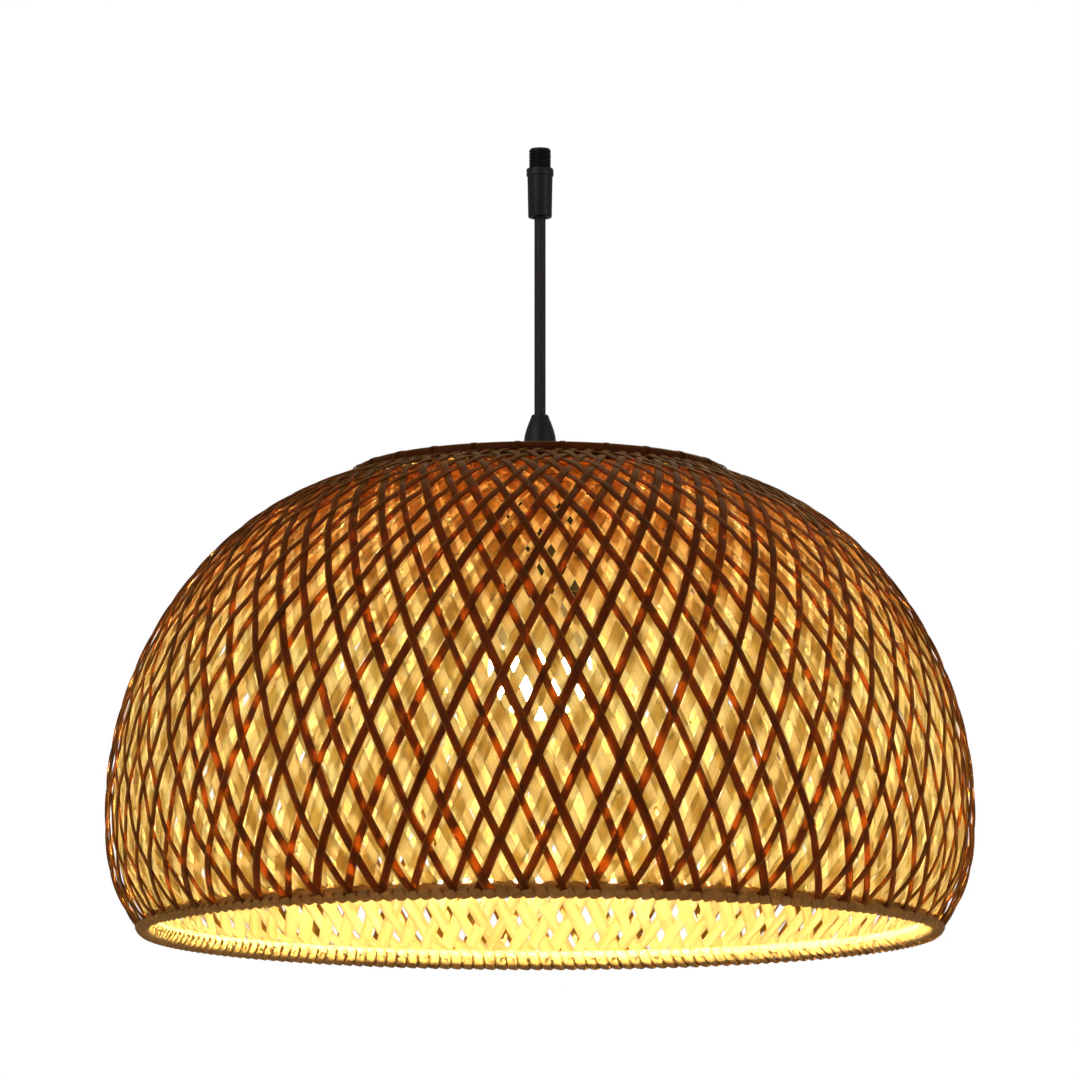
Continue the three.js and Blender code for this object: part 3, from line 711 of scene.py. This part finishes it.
def round_axis(angle, r, z):
    return np.stack(np.broadcast_arrays(r * np.cos(angle), r * np.sin(angle), z), axis=-1)


def turned_to(angle, r, z, normal_r, normal_z):
    """Centres and normals of strips, from an outline's places and the angle of each step."""
    return round_axis(angle, r, z), round_axis(angle, normal_r, normal_z)


# ---------------------------------------------------------------- the two woven layers


def laid_strips(name, count, width, thickness, depth_at, lean, settings, steps, section, seed):
    """One family of strips, all leaning the same way, from the crown to the rim.

    A strip keeps its angle to the upright, and passes over and under the strips of the other
    family, which it meets every pi / count of turn.
    """
    # Fine steps down the dome, closest together at its two ends
    eased = (1 - np.cos(np.linspace(0, math.pi, 1500))) / 2
    share = CROWN_SHARE + (RIM_SHARE - CROWN_SHARE) * eased
    r, _, _, _ = dome(share)
    step = np.diff(share) * SPAN
    turn_rate = math.tan(settings.lay_angle) / r
    turn = np.concatenate([[0], np.cumsum(step * (turn_rate[1:] + turn_rate[:-1]) / 2)])

    # Steps are shared between turn and length, so that crossings stay smooth everywhere
    measure = 0.6 * turn / turn[-1] + 0.4 * (share - share[0]) / (share[-1] - share[0])
    even = np.linspace(0, 1, steps)
    share, turn = (np.interp(even, measure, values) for values in (share, turn))

    wave = np.cos(count * turn)
    lift = np.tanh(1.4 * wave) / math.tanh(1.4) * (thickness / 2 + STRIP_GAP) * lean
    outline = dome(share, lift - depth_at(share))
    dice = np.random.default_rng(seed)
    pitch = FULL_TURN / count
    stray = settings.unevenness * pitch
    along = np.linspace(0, 1, steps)[None, :]
    wander = dice.normal(0, 1, (count, 1)) + dice.normal(0, 0.8, (count, 1)) * np.sin(
        math.pi * (along * dice.uniform(0.8, 2.2, (count, 1)) + dice.uniform(0, 2, (count, 1)))
    )
    start = np.arange(count)[:, None] * pitch
    angle = start + lean * turn[None, :] + np.clip(wander, -2, 2) * stray
    centre, normal = turned_to(angle, *outline)
    room = pitch * outline[0] * math.cos(settings.lay_angle)
    spread = 1 + settings.width_spread * np.clip(dice.normal(0, 1, (count, 1)), -2, 2)
    narrow = np.minimum(width * spread, 0.95 * room)
    return strips(name, centre, normal, narrow, thickness, section, seed=seed + 50)


def outer_middle(share):
    """How deep the middle of the outer layer lies under its outside."""
    return LAYER_WALL / 2


def inner_middle(share):
    return inner_depth(share) + LAYER_WALL / 2


def weave_layer(layer, weave, depth_at, steps, section, slot, seed):
    """Both families of strips of the outer or the inner layer, whose middle lies at depth_at."""
    count, width, thickness = (getattr(weave, f"{layer}_{size}") for size in ("count", "width", "thickness"))
    for label, lean in (("right", 1), ("left", -1)):
        name = f"{layer}_strips_{label}"
        family = seed if lean > 0 else seed + 1
        piece = laid_strips(name, count, width, thickness, depth_at, lean, weave, steps, section, family)
        replaced = (f"{layer}_weave",) if lean > 0 else ()
        settle(piece, name, "shade", slot, *replaced)


class SHADE_OT_outer_weave(bpy.types.Operator):
    """Weaves the open outer layer of dark strips"""
    bl_idname = "shade.outer_weave"
    bl_label = "Outer Weave"

    def execute(self, context):
        weave = context.scene.shade_weave
        weave_layer("outer", weave, outer_middle, 126, CROWNED, "bamboo_dark", 3)
        return {"FINISHED"}


class SHADE_OT_inner_weave(bpy.types.Operator):
    """Weaves the close inner layer of honey strips"""
    bl_idname = "shade.inner_weave"
    bl_label = "Inner Weave"

    def execute(self, context):
        weave = context.scene.shade_weave
        weave_layer("inner", weave, inner_middle, 172, PLAIN, "bamboo_honey", 5)
        return {"FINISHED"}


# ---------------------------------------------------------------- crown and rim


def loops(name, share_out, count, width, thickness, helix, seed):
    """Turns of a strip round a band of the dome. share_out is the closed section that they follow.

    In a helix one strip runs through all the turns. Otherwise each turn is a ring of its own.
    """
    share, out = np.array(share_out).T
    steps = len(share)
    r, z, _, _ = dome(share, out)
    middle_r, middle_z = r.mean(), z.mean()
    push = np.stack([r - middle_r, z - middle_z], axis=1)
    push /= np.linalg.norm(push, axis=1, keepdims=True)
    pitch = FULL_TURN / count
    start = np.arange(count)[:, None] * pitch
    if helix:
        turns = start + np.arange(steps)[None, :] / steps * pitch
        angle = turns.reshape(1, -1)
        r, z = np.tile(r, count)[None, :], np.tile(z, count)[None, :]
        push = np.tile(push, (count, 1))
    else:
        angle = start + np.zeros((1, steps))
        r, z = r[None, :], z[None, :]
    centre = round_axis(angle, r, z)
    normal = round_axis(angle, push[None, :, 0], push[None, :, 1])
    return strips(name, centre, normal, width, thickness, ring=True, seed=seed)


def inner_face(share):
    """Where the inside of the inner layer lies, measured outwards from the outer layer's outside."""
    return -float(inner_depth(share)) - LAYER_WALL


def wrap_uv(piece):
    """A strip map for a ring: by its height across the strip, and round the axis along it."""
    mesh = piece.data
    for layer in list(mesh.uv_layers):
        mesh.uv_layers.remove(layer)
    across_per_metre = 40.0
    points = np.array([vertex.co for vertex in mesh.vertices])
    along = np.arctan2(points[:, 1], points[:, 0]) * np.hypot(points[:, 0], points[:, 1])
    corners = np.array([loop.vertex_index for loop in mesh.loops])
    set_strip_map(mesh, np.stack([points[:, 2] * across_per_metre, along], axis=1)[corners])
    set_points(mesh, "tone", np.full(len(points), 0.4))
    set_points(mesh, "skin", np.ones(len(points)))


class SHADE_OT_rim(bpy.types.Operator):
    """Lays the rim's hoop between the layers and winds the binding round them"""
    bl_idname = "shade.rim"
    bl_label = "Rim"

    def execute(self, context):
        self.hoop()
        self.binding(context.scene.shade_weave.binding_turns)
        return {"FINISHED"}

    def middle(self):
        """Radius and height of the hoop's middle line."""
        r, z, _, _ = dome(RIM_SHARE - RIM_HOOP / 2 / SPAN, -LAYER_WALL - GAP - RIM_HOOP / 2)
        return float(r), float(z)

    def hoop(self):
        r, z = self.middle()
        deselect()
        bpy.ops.mesh.primitive_torus_add(
            location=(0, 0, z), major_radius=r, minor_radius=RIM_HOOP / 2,
            major_segments=180, minor_segments=14,
        )
        hoop = bpy.context.object
        bpy.ops.object.transform_apply(location=True)
        bpy.ops.object.shade_smooth()
        wrap_uv(hoop)
        settle(hoop, "rim_hoop_ring", "shade", "rattan", "rim_hoop")

    def section(self):
        """The closed section that the binding follows: down outside, round the rim and up inside."""
        strip_height = 0.5 * MM
        bulge = 0.9 * MM
        shares = np.linspace(RIM_SHARE - BINDING_DEPTH / SPAN, RIM_SHARE, 5)
        outside = [(share, strip_height) for share in shares]
        inside = [(share, inner_face(share) - strip_height) for share in shares[::-1]]
        middle = (outside[-1][1] + inside[0][1]) / 2
        return outside + [(RIM_SHARE + bulge / SPAN, middle)] + inside

    def binding(self, turns):
        r, _ = self.middle()
        width = 0.9 * FULL_TURN * r / turns
        winding = loops("rim_winding", self.section(), turns, width, 0.8 * MM, True, 11)
        # Its inner side takes the paler colour: painted light, as bright as the lamp-lit wall above it
        points = np.array([vertex.co for vertex in winding.data.vertices])
        outward = np.hypot(points[:, 0], points[:, 1]) - r
        set_points(winding.data, "skin", np.clip(0.5 + outward / (2 * MM), 0, 1))
        settle(winding, "rim_winding", "shade", "rattan", "rim_binding")


def crown_place(share, rise):
    """Places in the crown's middle, at a rise above the middle of its wall, which is flat at the centre."""
    depth = LAYER_WALL + GAP + CAP_WALL / 2
    r, z, normal_r, normal_z = dome(np.broadcast_to(share, rise.shape), rise - depth)
    return r, np.minimum(z, CAP_TOP - CAP_WALL / 2 + rise), normal_r, normal_z


class SHADE_OT_crown(bpy.types.Operator):
    """Weaves the crown's middle, and makes the two hoops and the ties round them"""
    bl_idname = "shade.crown"
    bl_label = "Crown"

    def execute(self, context):
        weave = context.scene.shade_weave
        self.weave_middle(weave.spokes)
        self.hoop_share = share_at(CROWN_RADIUS + HOOP_WIDTH / 2 + GAP)
        self.hoop("crown_hoop_outer", 1, lambda at: 0.0)
        self.hoop("crown_hoop_inner", -1, inner_face)
        self.ties(weave.lashings)
        return {"FINISHED"}

    def hoop(self, name, side, face_at):
        """A half-round hoop on the outer face, where side is 1, or under the inner one."""
        reach = HOOP_WIDTH / 2 / SPAN
        sink = 1.0 * MM  # the hoops press into the weave
        outline = []
        for angle in np.linspace(0, math.pi, 13):
            at = self.hoop_share + reach * math.cos(angle)
            out = face_at(at) + side * ((HOOP_HEIGHT + sink) * math.sin(angle) - sink + GAP)
            r, z, _, _ = dome(at, out)
            outline.append((float(r), float(z)))
        hoop = spun(closed(outline), 144, 50)
        wrap_uv(hoop)
        settle(hoop, name + "_ring", "shade", "bamboo_dark", name)

    def ties(self, count):
        """Short strips tied round both hoops."""
        half = (HOOP_WIDTH / 2 + 0.5 * MM) / SPAN
        above, below = [], []
        for angle in np.linspace(0, math.pi, 7):
            proud = (HOOP_HEIGHT + GAP) * (0.45 + 0.55 * math.sin(angle))
            step = half * math.cos(angle)
            above.append((self.hoop_share - step, proud))
            below.append((self.hoop_share + step, inner_face(self.hoop_share + step) - proud))
        ties = loops("crown_ties", above + below, count, 2.6 * MM, 0.5 * MM, False, 12)
        settle(ties, "crown_ties", "shade", "bamboo_dark")

    def weave_middle(self, spoke_count):
        """Radial spokes with strips woven round them."""
        thickness = 0.55 * MM
        swing = thickness / 2 + STRIP_GAP
        ring_pitch = 2.35 * MM
        start_radius = CAP_FLAT - 4 * MM
        rings = int((CROWN_RADIUS + CAP_OVERLAP - start_radius) / ring_pitch)
        ring_share = np.array([share_at(start_radius + (i + 0.5) * ring_pitch) for i in range(rings)])

        spoke = np.arange(spoke_count)[:, None]
        edge = share_at(CROWN_RADIUS + CAP_OVERLAP - 0.5 * MM)
        share = np.linspace(share_at(15 * MM), edge, rings * 6)
        phase = np.interp(share, ring_share, np.arange(rings) * math.pi)
        rise = np.where(spoke % 2 == 0, 1, -1) * swing * np.cos(phase)[None, :]
        outline = crown_place(share, rise)
        angle = spoke * FULL_TURN / spoke_count + np.zeros((1, len(share)))
        width = np.minimum(4.2 * MM, 0.6 * FULL_TURN * outline[0] / spoke_count)
        spokes = strips("crown_spokes", *turned_to(angle, *outline), width, thickness, seed=21)
        settle(spokes, "crown_spokes", "shade", "bamboo_dark", "crown_cap")

        ring = np.arange(rings)[:, None]
        angle = np.linspace(0, FULL_TURN, spoke_count * 6, endpoint=False)[None, :] + np.zeros((rings, 1))
        wave = np.tanh(1.6 * np.cos(angle * spoke_count / 2))
        rise = np.where(ring % 2 == 0, -1, 1) * wave * swing
        centre, normal = turned_to(angle, *crown_place(ring_share[:, None], rise))
        width = 1.04 * ring_pitch
        weavers = strips("crown_weavers", centre, normal, width, thickness, ring=True, seed=22)
        settle(weavers, "crown_weavers", "shade", "bamboo_dark")


class SHADE_OT_crown_plates(bpy.types.Operator):
    """Turns the two steel plates that grip the crown, with their rivets"""
    bl_idname = "shade.crown_plates"
    bl_label = "Crown Plates"

    def execute(self, context):
        for name in ("crown_plate_top", "crown_plate_under"):
            low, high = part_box(name)
            outer = high[0]
            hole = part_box("shade_nipple")[1][0] + GAP
            bottom, top = low[2], high[2]
            round_off, raised_edge, recess = 0.45 * MM, 3 * MM, 0.25 * MM
            outline = (
                [(hole, bottom), (outer - round_off, bottom)]
                + arc((outer - round_off, bottom + round_off), round_off, -90, 0, 4)
                + arc((outer - round_off, top - round_off), round_off, 0, 90, 4)
                + [(outer - raised_edge, top), (outer - raised_edge - 0.6 * MM, top - recess)]
                + [(hole, top - recess)]
            )
            plate = spun(closed(outline), 96)
            settle(plate, name + "_disc", "shade", "black_steel", name)
        for number in (1, 2, 3):
            self.rivet(f"crown_rivet_{number}")
        return {"FINISHED"}

    def rivet(self, name):
        low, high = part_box(name)
        middle = ((low[0] + high[0]) / 2, (low[1] + high[1]) / 2)
        head = (high[0] - low[0]) / 2
        shank = 1.5 * MM
        dome_height = 1.0 * MM
        under, over = low[2] + dome_height, high[2] - dome_height
        outline = (
            [(0, low[2])] + arc((0, under), head, 80, 0, 5, -dome_height)
            + [(shank, under), (shank, over)]
            + arc((0, over), head, 0, 80, 5, dome_height) + [(0, high[2])]
        )
        piece = spun(outline, 32)
        edit_all()
        bpy.ops.transform.translate(value=(middle[0], middle[1], 0))
        bpy.ops.object.mode_set(mode="OBJECT")
        settle(piece, name + "_domed", "shade", "steel", name)


# ---------------------------------------------------------------- cord, grip and strain relief

GRIP_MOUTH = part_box("cord_grip")[0][2]
BELL_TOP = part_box("strain_relief")[1][2]
CORD_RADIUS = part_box("suspension_cord")[1][1]
# How far the cord's ends reach into the grip and into the strain relief
CORD_IN_GRIP = 1.3 * MM
CORD_IN_BELL = 0.7 * MM


class SHADE_OT_cord(bpy.types.Operator):
    """Models the cord between the grip and the strain relief"""
    bl_idname = "shade.cord"
    bl_label = "Cord"

    def execute(self, context):
        top = GRIP_MOUTH + CORD_IN_GRIP
        bottom = BELL_TOP - CORD_IN_BELL
        deselect()
        bpy.ops.mesh.primitive_circle_add(
            vertices=32, radius=CORD_RADIUS, fill_type="NGON", location=(0, 0, top),
        )
        piece = bpy.context.object
        bpy.ops.object.transform_apply(location=True)
        edit_all()
        rings = 60
        for _ in range(rings):
            extrude(0, (bottom - top) / rings)
        leave_edit(50)
        piece.name = piece.data.name = "hanging_cord"
        piece.data.materials.append(finish_named("cord_sheath"))
        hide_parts("suspension_cord")
        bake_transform(piece)
        # Its length is what shows between the grip and the strain relief, with its two hidden ends
        return {"FINISHED"}


class SHADE_OT_grips(bpy.types.Operator):
    """Turns the cord grip and the bell-shaped strain relief"""
    bl_idname = "shade.grips"
    bl_label = "Cord Grip and Strain Relief"

    def execute(self, context):
        self.grip()
        self.bell()
        return {"FINISHED"}

    def grip(self):
        low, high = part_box("cord_grip")
        collar = high[0]
        body, mouth = collar - 0.4 * MM, collar - 0.75 * MM
        stud, stud_top = 4.9 * MM, high[2]
        bore_radius = CORD_RADIUS + GAP
        root = stud - 0.55 * MM
        pitch = 1.0 * MM
        thread = []
        for turn in range(8):
            z = 0.4 * MM + turn * pitch
            thread += [(root, z), (stud, z + 0.35 * MM), (stud, z + 0.5 * MM)]
        edge, mouth_edge = 0.5 * MM, 0.7 * MM
        outline = (
            [(bore_radius, low[2] + mouth_edge)]
            + arc((bore_radius + mouth_edge, low[2] + mouth_edge), mouth_edge, 180, 270, 4)
            + arc((mouth - edge, low[2] + edge), edge, -90, 0, 4)
            + [(body, -3.6 * MM), (body, -3.5 * MM), (collar, -3.1 * MM)]
            + arc((collar - 0.3 * MM, -0.3 * MM), 0.3 * MM, 0, 90, 3)
            + [(root, 0.0)] + thread
            + [(stud - 0.5 * MM, stud_top), (bore_radius, stud_top)]
        )
        piece = spun(closed(outline), 64, 30)
        screw_hole(piece, "grip_screw", 0.2 * MM)
        settle(piece, "cord_grip_turned", "hanger", "black_plastic", "cord_grip")

    def bell(self):
        low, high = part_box("strain_relief")
        foot, waist = high[0], 3.9 * MM
        base, top = low[2], high[2]
        rim_height, flare = 5 * MM, 12 * MM
        side = [
            (waist + (foot - waist) * math.cos(math.pi / 2 * t), base + rim_height + flare * t)
            for t in np.linspace(0, 1, 13)
        ]
        bore_radius = CORD_RADIUS + GAP
        edge = 0.35 * MM
        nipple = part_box("shade_nipple")[1][0] + GAP
        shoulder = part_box("shade_nipple")[1][2] + GAP
        crown_edge = 0.9 * MM
        outline = (
            [(nipple, base)]
            + arc((foot - edge, base + edge), edge, -90, 0, 3)
            + side
            + arc((waist - crown_edge, top - crown_edge), crown_edge, 0, 70, 5)
            + [(bore_radius + 0.25 * MM, top), (bore_radius, top - 0.3 * MM), (bore_radius, shoulder)]
            + [(nipple, shoulder)]
        )
        piece = spun(closed(outline), 64, 30)
        screw_hole(piece, "strain_relief_screw", 0.15 * MM)
        settle(piece, "strain_relief_bell", "pendant", "black_plastic", "strain_relief")


# ---------------------------------------------------------------- lampholder and bulb


class SHADE_OT_lampholder(bpy.types.Operator):
    """Turns the two moulded shells of the lampholder"""
    bl_idname = "shade.lampholder"
    bl_label = "Lampholder"

    def execute(self, context):
        self.cap()
        self.body()
        return {"FINISHED"}

    def cap(self):
        low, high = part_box("lampholder_cap")
        radius, top, join = high[0], high[2], low[2]
        neck, neck_height, wall, skirt = 7.6 * MM, 3.5 * MM, 2 * MM, 5.5 * MM
        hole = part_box("shade_nipple")[1][0] + GAP
        neck_z = top - neck_height
        drop = (top - join) - neck_height - skirt
        outside = arc((neck, neck_z - drop), radius - neck, 90, 0, 9, drop)
        inside = arc((neck, neck_z - drop), radius - neck - wall, 0, 90, 9, drop - wall)
        groove = [
            (radius, join + 2.2 * MM), (radius - 0.5 * MM, join + 1.9 * MM),
            (radius - 0.5 * MM, join + 1.3 * MM), (radius, join + 1.0 * MM),
        ]
        edge = 0.4 * MM
        outline = (
            [(hole, top), (neck - edge, top)]
            + arc((neck - edge, top - edge), edge, 90, 0, 3)
            + outside + groove
            + [(radius, join), (radius - wall, join)] + inside
            + [(hole, neck_z - wall)]
        )
        piece = spun(closed(outline), 72)
        settle(piece, "lampholder_cap_moulded", "pendant", "black_plastic", "lampholder_cap")

    def body(self):
        low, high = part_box("lampholder_body")
        bead, bottom, lip_top = high[0], low[2], high[2]
        radius, wall = bead - 1 * MM, 2 * MM
        top = lip_top - 4 * MM
        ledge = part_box("lampholder_core")[0][2] - GAP
        lip = radius - wall - GAP
        edge, bead_edge = 0.3 * MM, 0.8 * MM
        root = radius - 0.45 * MM
        grooves = []
        for number in range(3):
            z = top - 7 * MM - number * 2.4 * MM
            grooves += [(radius, z), (root, z - 0.4 * MM), (root, z - 1 * MM), (radius, z - 1.4 * MM)]
        outline = (
            [(lip - wall, lip_top), (lip, lip_top), (lip, top), (radius - edge, top), (radius, top - edge)]
            + grooves
            + [(radius, bottom + 4.6 * MM)]
            + arc((bead - bead_edge, bottom + 3.4 * MM), bead_edge, 60, 0, 4)
            + arc((bead - bead_edge, bottom + bead_edge), bead_edge, 0, -90, 4)
            + [(radius - wall, bottom), (radius - wall, ledge), (lip - wall, ledge)]
        )
        piece = spun(closed(outline), 72)
        settle(piece, "lampholder_body_moulded", "pendant", "black_plastic", "lampholder_body")


class SHADE_OT_bulb(bpy.types.Operator):
    """Turns the bulb's lit globe, housing and base"""
    bl_idname = "shade.bulb"
    bl_label = "Bulb"

    def execute(self, context):
        self.globe()
        self.housing()
        self.base()
        return {"FINISHED"}

    def globe(self):
        low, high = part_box("bulb_diffuser")
        radius = high[0]
        middle = low[2] + radius
        wall = 1.1 * MM
        mouth = math.degrees(math.asin(min(1.0, (high[2] - middle) / radius)))
        outside = arc((0, middle), radius, -90, mouth, 25)
        inside = arc((0, middle), radius - wall, mouth, -90, 25)
        piece = spun(outside + inside, 64, 40)
        settle(piece, "bulb_globe", "bulb", "opal_diffuser", "bulb_diffuser")

    def housing(self):
        low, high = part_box("bulb_housing")
        neck = 12.4 * MM
        wide, wall = 21.3 * MM, 1.3 * MM
        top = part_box("bulb_base")[0][2] - GAP
        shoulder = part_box("bulb_base")[1][0]
        outside, inside = [], []
        for t in np.linspace(0, 1, 15):
            swell = (1 - math.cos(math.pi * t)) / 2
            radius = shoulder + (wide - shoulder) * swell
            outside.append((radius, top - (top - low[2]) * t))
            inside.append((radius - wall, top - (top - low[2]) * t))
        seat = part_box("led_board")[1][2] + GAP
        ledge = wide - wall - 2.5 * MM
        kept = [(r, min(z, top - 1 * MM)) for r, z in inside if z > seat and r < ledge]
        outline = (
            [(neck - wall, high[2]), (neck, high[2]), (neck, top)] + outside
            + [(wide - wall, low[2]), (wide - wall, seat), (ledge, seat)]
            + kept[::-1][:-1] + [(neck - wall, top - 1 * MM)]
        )
        piece = spun(closed(outline), 64)
        settle(piece, "bulb_housing_moulded", "bulb", "white_plastic", "bulb_housing")

    def base(self):
        """The screw base, with its rolled thread."""
        low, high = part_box("bulb_base")
        radius, wall = high[0], 0.5 * MM
        pitch, thread_depth = 3.6 * MM, 0.75 * MM
        first = low[2] + 2.5 * MM
        outside = [(radius, low[2])]
        inside = [(radius - wall, low[2])]
        for z in np.arange(first, high[2] - 3.4 * MM, pitch / 8):
            dip = thread_depth * (1 - math.cos(FULL_TURN * (z - first) / pitch)) / 2
            outside.append((radius - dip, z))
            inside.append((radius - wall - dip, z))
        tip = [(radius - 3 * MM, high[2]), (radius - 3 * MM - wall, high[2])]
        piece = spun(closed(outside + tip + inside[::-1]), 64, 60)
        settle(piece, "bulb_screw_base", "bulb", "steel", "bulb_base")


class SHADE_OT_fittings(bpy.types.Operator):
    """Gives the remaining parts of the frame their finishes"""
    bl_idname = "shade.fittings"
    bl_label = "Fittings"

    def execute(self, context):
        slots = {part["node"]: part["material_slot"] for part in frame["record"]["subparts"]}
        for name, part in frame["nodes"].items():
            if part.hide_render:
                continue
            material = finish_named(slots[name])
            if not part.material_slots:
                part.data.materials.append(material)
            for place in part.material_slots:
                place.material = material
        return {"FINISHED"}


# ---------------------------------------------------------------- stage

# In metres, from the end of the arm that the shade hangs from
FLOOR_HEIGHT = -1.591
CAMERA_DISTANCE = 2.754
CAMERA_HEIGHT = -0.589
VIEW_WIDTH = 0.475


class SHADE_OT_camera(bpy.types.Operator):
    """Places the camera a little under the rim's height, looking slightly up"""
    bl_idname = "shade.camera"
    bl_label = "Camera"

    def execute(self, context):
        place = (0.0, -CAMERA_DISTANCE, CAMERA_HEIGHT)
        target = (CAD_BOX[0][2] + CAD_BOX[1][2]) / 2
        pitch = math.atan2(target - CAMERA_HEIGHT, CAMERA_DISTANCE)
        deselect()
        bpy.ops.object.camera_add(location=place, rotation=(math.pi / 2 + pitch, 0, 0))
        camera = context.object
        camera.name = "camera"
        distance = math.hypot(CAMERA_DISTANCE, target - CAMERA_HEIGHT)
        camera.data.lens = camera.data.sensor_width * distance / VIEW_WIDTH
        camera.data.clip_end = 200
        context.scene.camera = camera
        return {"FINISHED"}


class SHADE_OT_stage(bpy.types.Operator):
    """Lays the floor and sets the soft studio light"""
    bl_idname = "shade.stage"
    bl_label = "Stage"

    def execute(self, context):
        self.floor()
        self.soft_light("key_light", (-1.9, -2.2, 1.3), 1.6, 26)
        self.soft_light("fill_light", (2.3, -1.6, 0.4), 1.8, 12)
        self.soft_light("back_light", (0.6, 2.4, 1.6), 1.6, 14)
        self.world(context)
        context.scene.view_settings.view_transform = "Standard"
        return {"FINISHED"}

    def floor(self):
        """A wide floor at the height of the lamp's foot, paler to the camera than as a source of light."""
        deselect()
        bpy.ops.mesh.primitive_circle_add(
            vertices=96, radius=60, fill_type="NGON", location=(0, 0, FLOOR_HEIGHT),
        )
        floor = bpy.context.object
        floor.name = "studio_floor"
        material, tree, shader = new_material("studio_floor_finish")
        speckle = noise(tree, object_place(tree), Scale=3.0)
        shown = mixed(tree, speckle.outputs["Fac"], (0.8, 0.8, 0.79, 1), (0.83, 0.83, 0.82, 1))
        tree.links.new(shown, shader.inputs["Base Color"])
        set_inputs(shader, Roughness=0.7, Emission_Color=(1.0, 1.0, 0.99, 1.0))
        rays = node(tree, "ShaderNodeLightPath")
        glow = maths(tree, "MULTIPLY", rays.outputs["Is Camera Ray"], 0.72)
        tree.links.new(glow, shader.inputs["Emission Strength"])
        floor.data.materials.append(material)

    def soft_light(self, name, place, size, power):
        aim = np.array([0.0, 0.0, -0.2]) - np.array(place)
        tilt = math.acos(-aim[2] / np.linalg.norm(aim))
        heading = math.atan2(aim[1], aim[0]) - math.pi / 2
        bpy.ops.object.light_add(type="AREA", location=place, rotation=(tilt, 0, heading))
        light = bpy.context.object
        light.name = name
        light.data.size = size
        light.data.energy = power

    def world(self, context):
        """White to the camera, and dimmer as a light."""
        world = bpy.data.worlds.new("studio_world")
        context.scene.world = world
        world.use_nodes = True
        tree = world.node_tree
        shown = tree.nodes["Background"]
        set_inputs(shown, Color=(1.0, 1.0, 1.0, 1.0))
        dim = node(tree, "ShaderNodeBackground", Strength=0.3, Color=(1.0, 0.99, 0.97, 1.0))
        rays = node(tree, "ShaderNodeLightPath")
        both = node(tree, "ShaderNodeMixShader")
        tree.links.new(rays.outputs["Is Camera Ray"], both.inputs["Fac"])
        tree.links.new(dim.outputs[0], both.inputs[1])
        tree.links.new(shown.outputs[0], both.inputs[2])
        tree.links.new(both.outputs[0], tree.nodes["World Output"].inputs["Surface"])


# ---------------------------------------------------------------- panel and registration

STEPS = (
    SHADE_OT_camera, SHADE_OT_grips, SHADE_OT_cord, SHADE_OT_outer_weave, SHADE_OT_inner_weave,
    SHADE_OT_rim, SHADE_OT_crown, SHADE_OT_crown_plates, SHADE_OT_lampholder, SHADE_OT_bulb,
    SHADE_OT_fittings, SHADE_OT_stage,
)


class SHADE_PT_panel(bpy.types.Panel):
    """Sizes, colours and steps of the lamp shade"""
    bl_idname = "SHADE_PT_panel"
    bl_label = "Woven Lamp Shade"
    bl_space_type = "VIEW_3D"
    bl_region_type = "UI"
    bl_category = "Lamp Shade"

    def draw(self, context):
        for settings in (context.scene.shade_weave, context.scene.shade_finish):
            box = self.layout.box()
            for name in settings.__annotations__:
                box.prop(settings, name)
        column = self.layout.column()
        for step in STEPS:
            column.operator(step.bl_idname)


CLASSES = (ShadeWeaveSettings, ShadeFinishSettings, *STEPS, SHADE_PT_panel)


def register():
    for made in CLASSES:
        bpy.utils.register_class(made)
    bpy.types.Scene.shade_weave = bpy.props.PointerProperty(type=ShadeWeaveSettings)
    bpy.types.Scene.shade_finish = bpy.props.PointerProperty(type=ShadeFinishSettings)


def unregister():
    del bpy.types.Scene.shade_finish
    del bpy.types.Scene.shade_weave
    for made in reversed(CLASSES):
        bpy.utils.unregister_class(made)


def main():
    register()
    for step in STEPS:
        group, name = step.bl_idname.split(".")
        getattr(getattr(bpy.ops, group), name)()


if __name__ == "__main__":
    main()
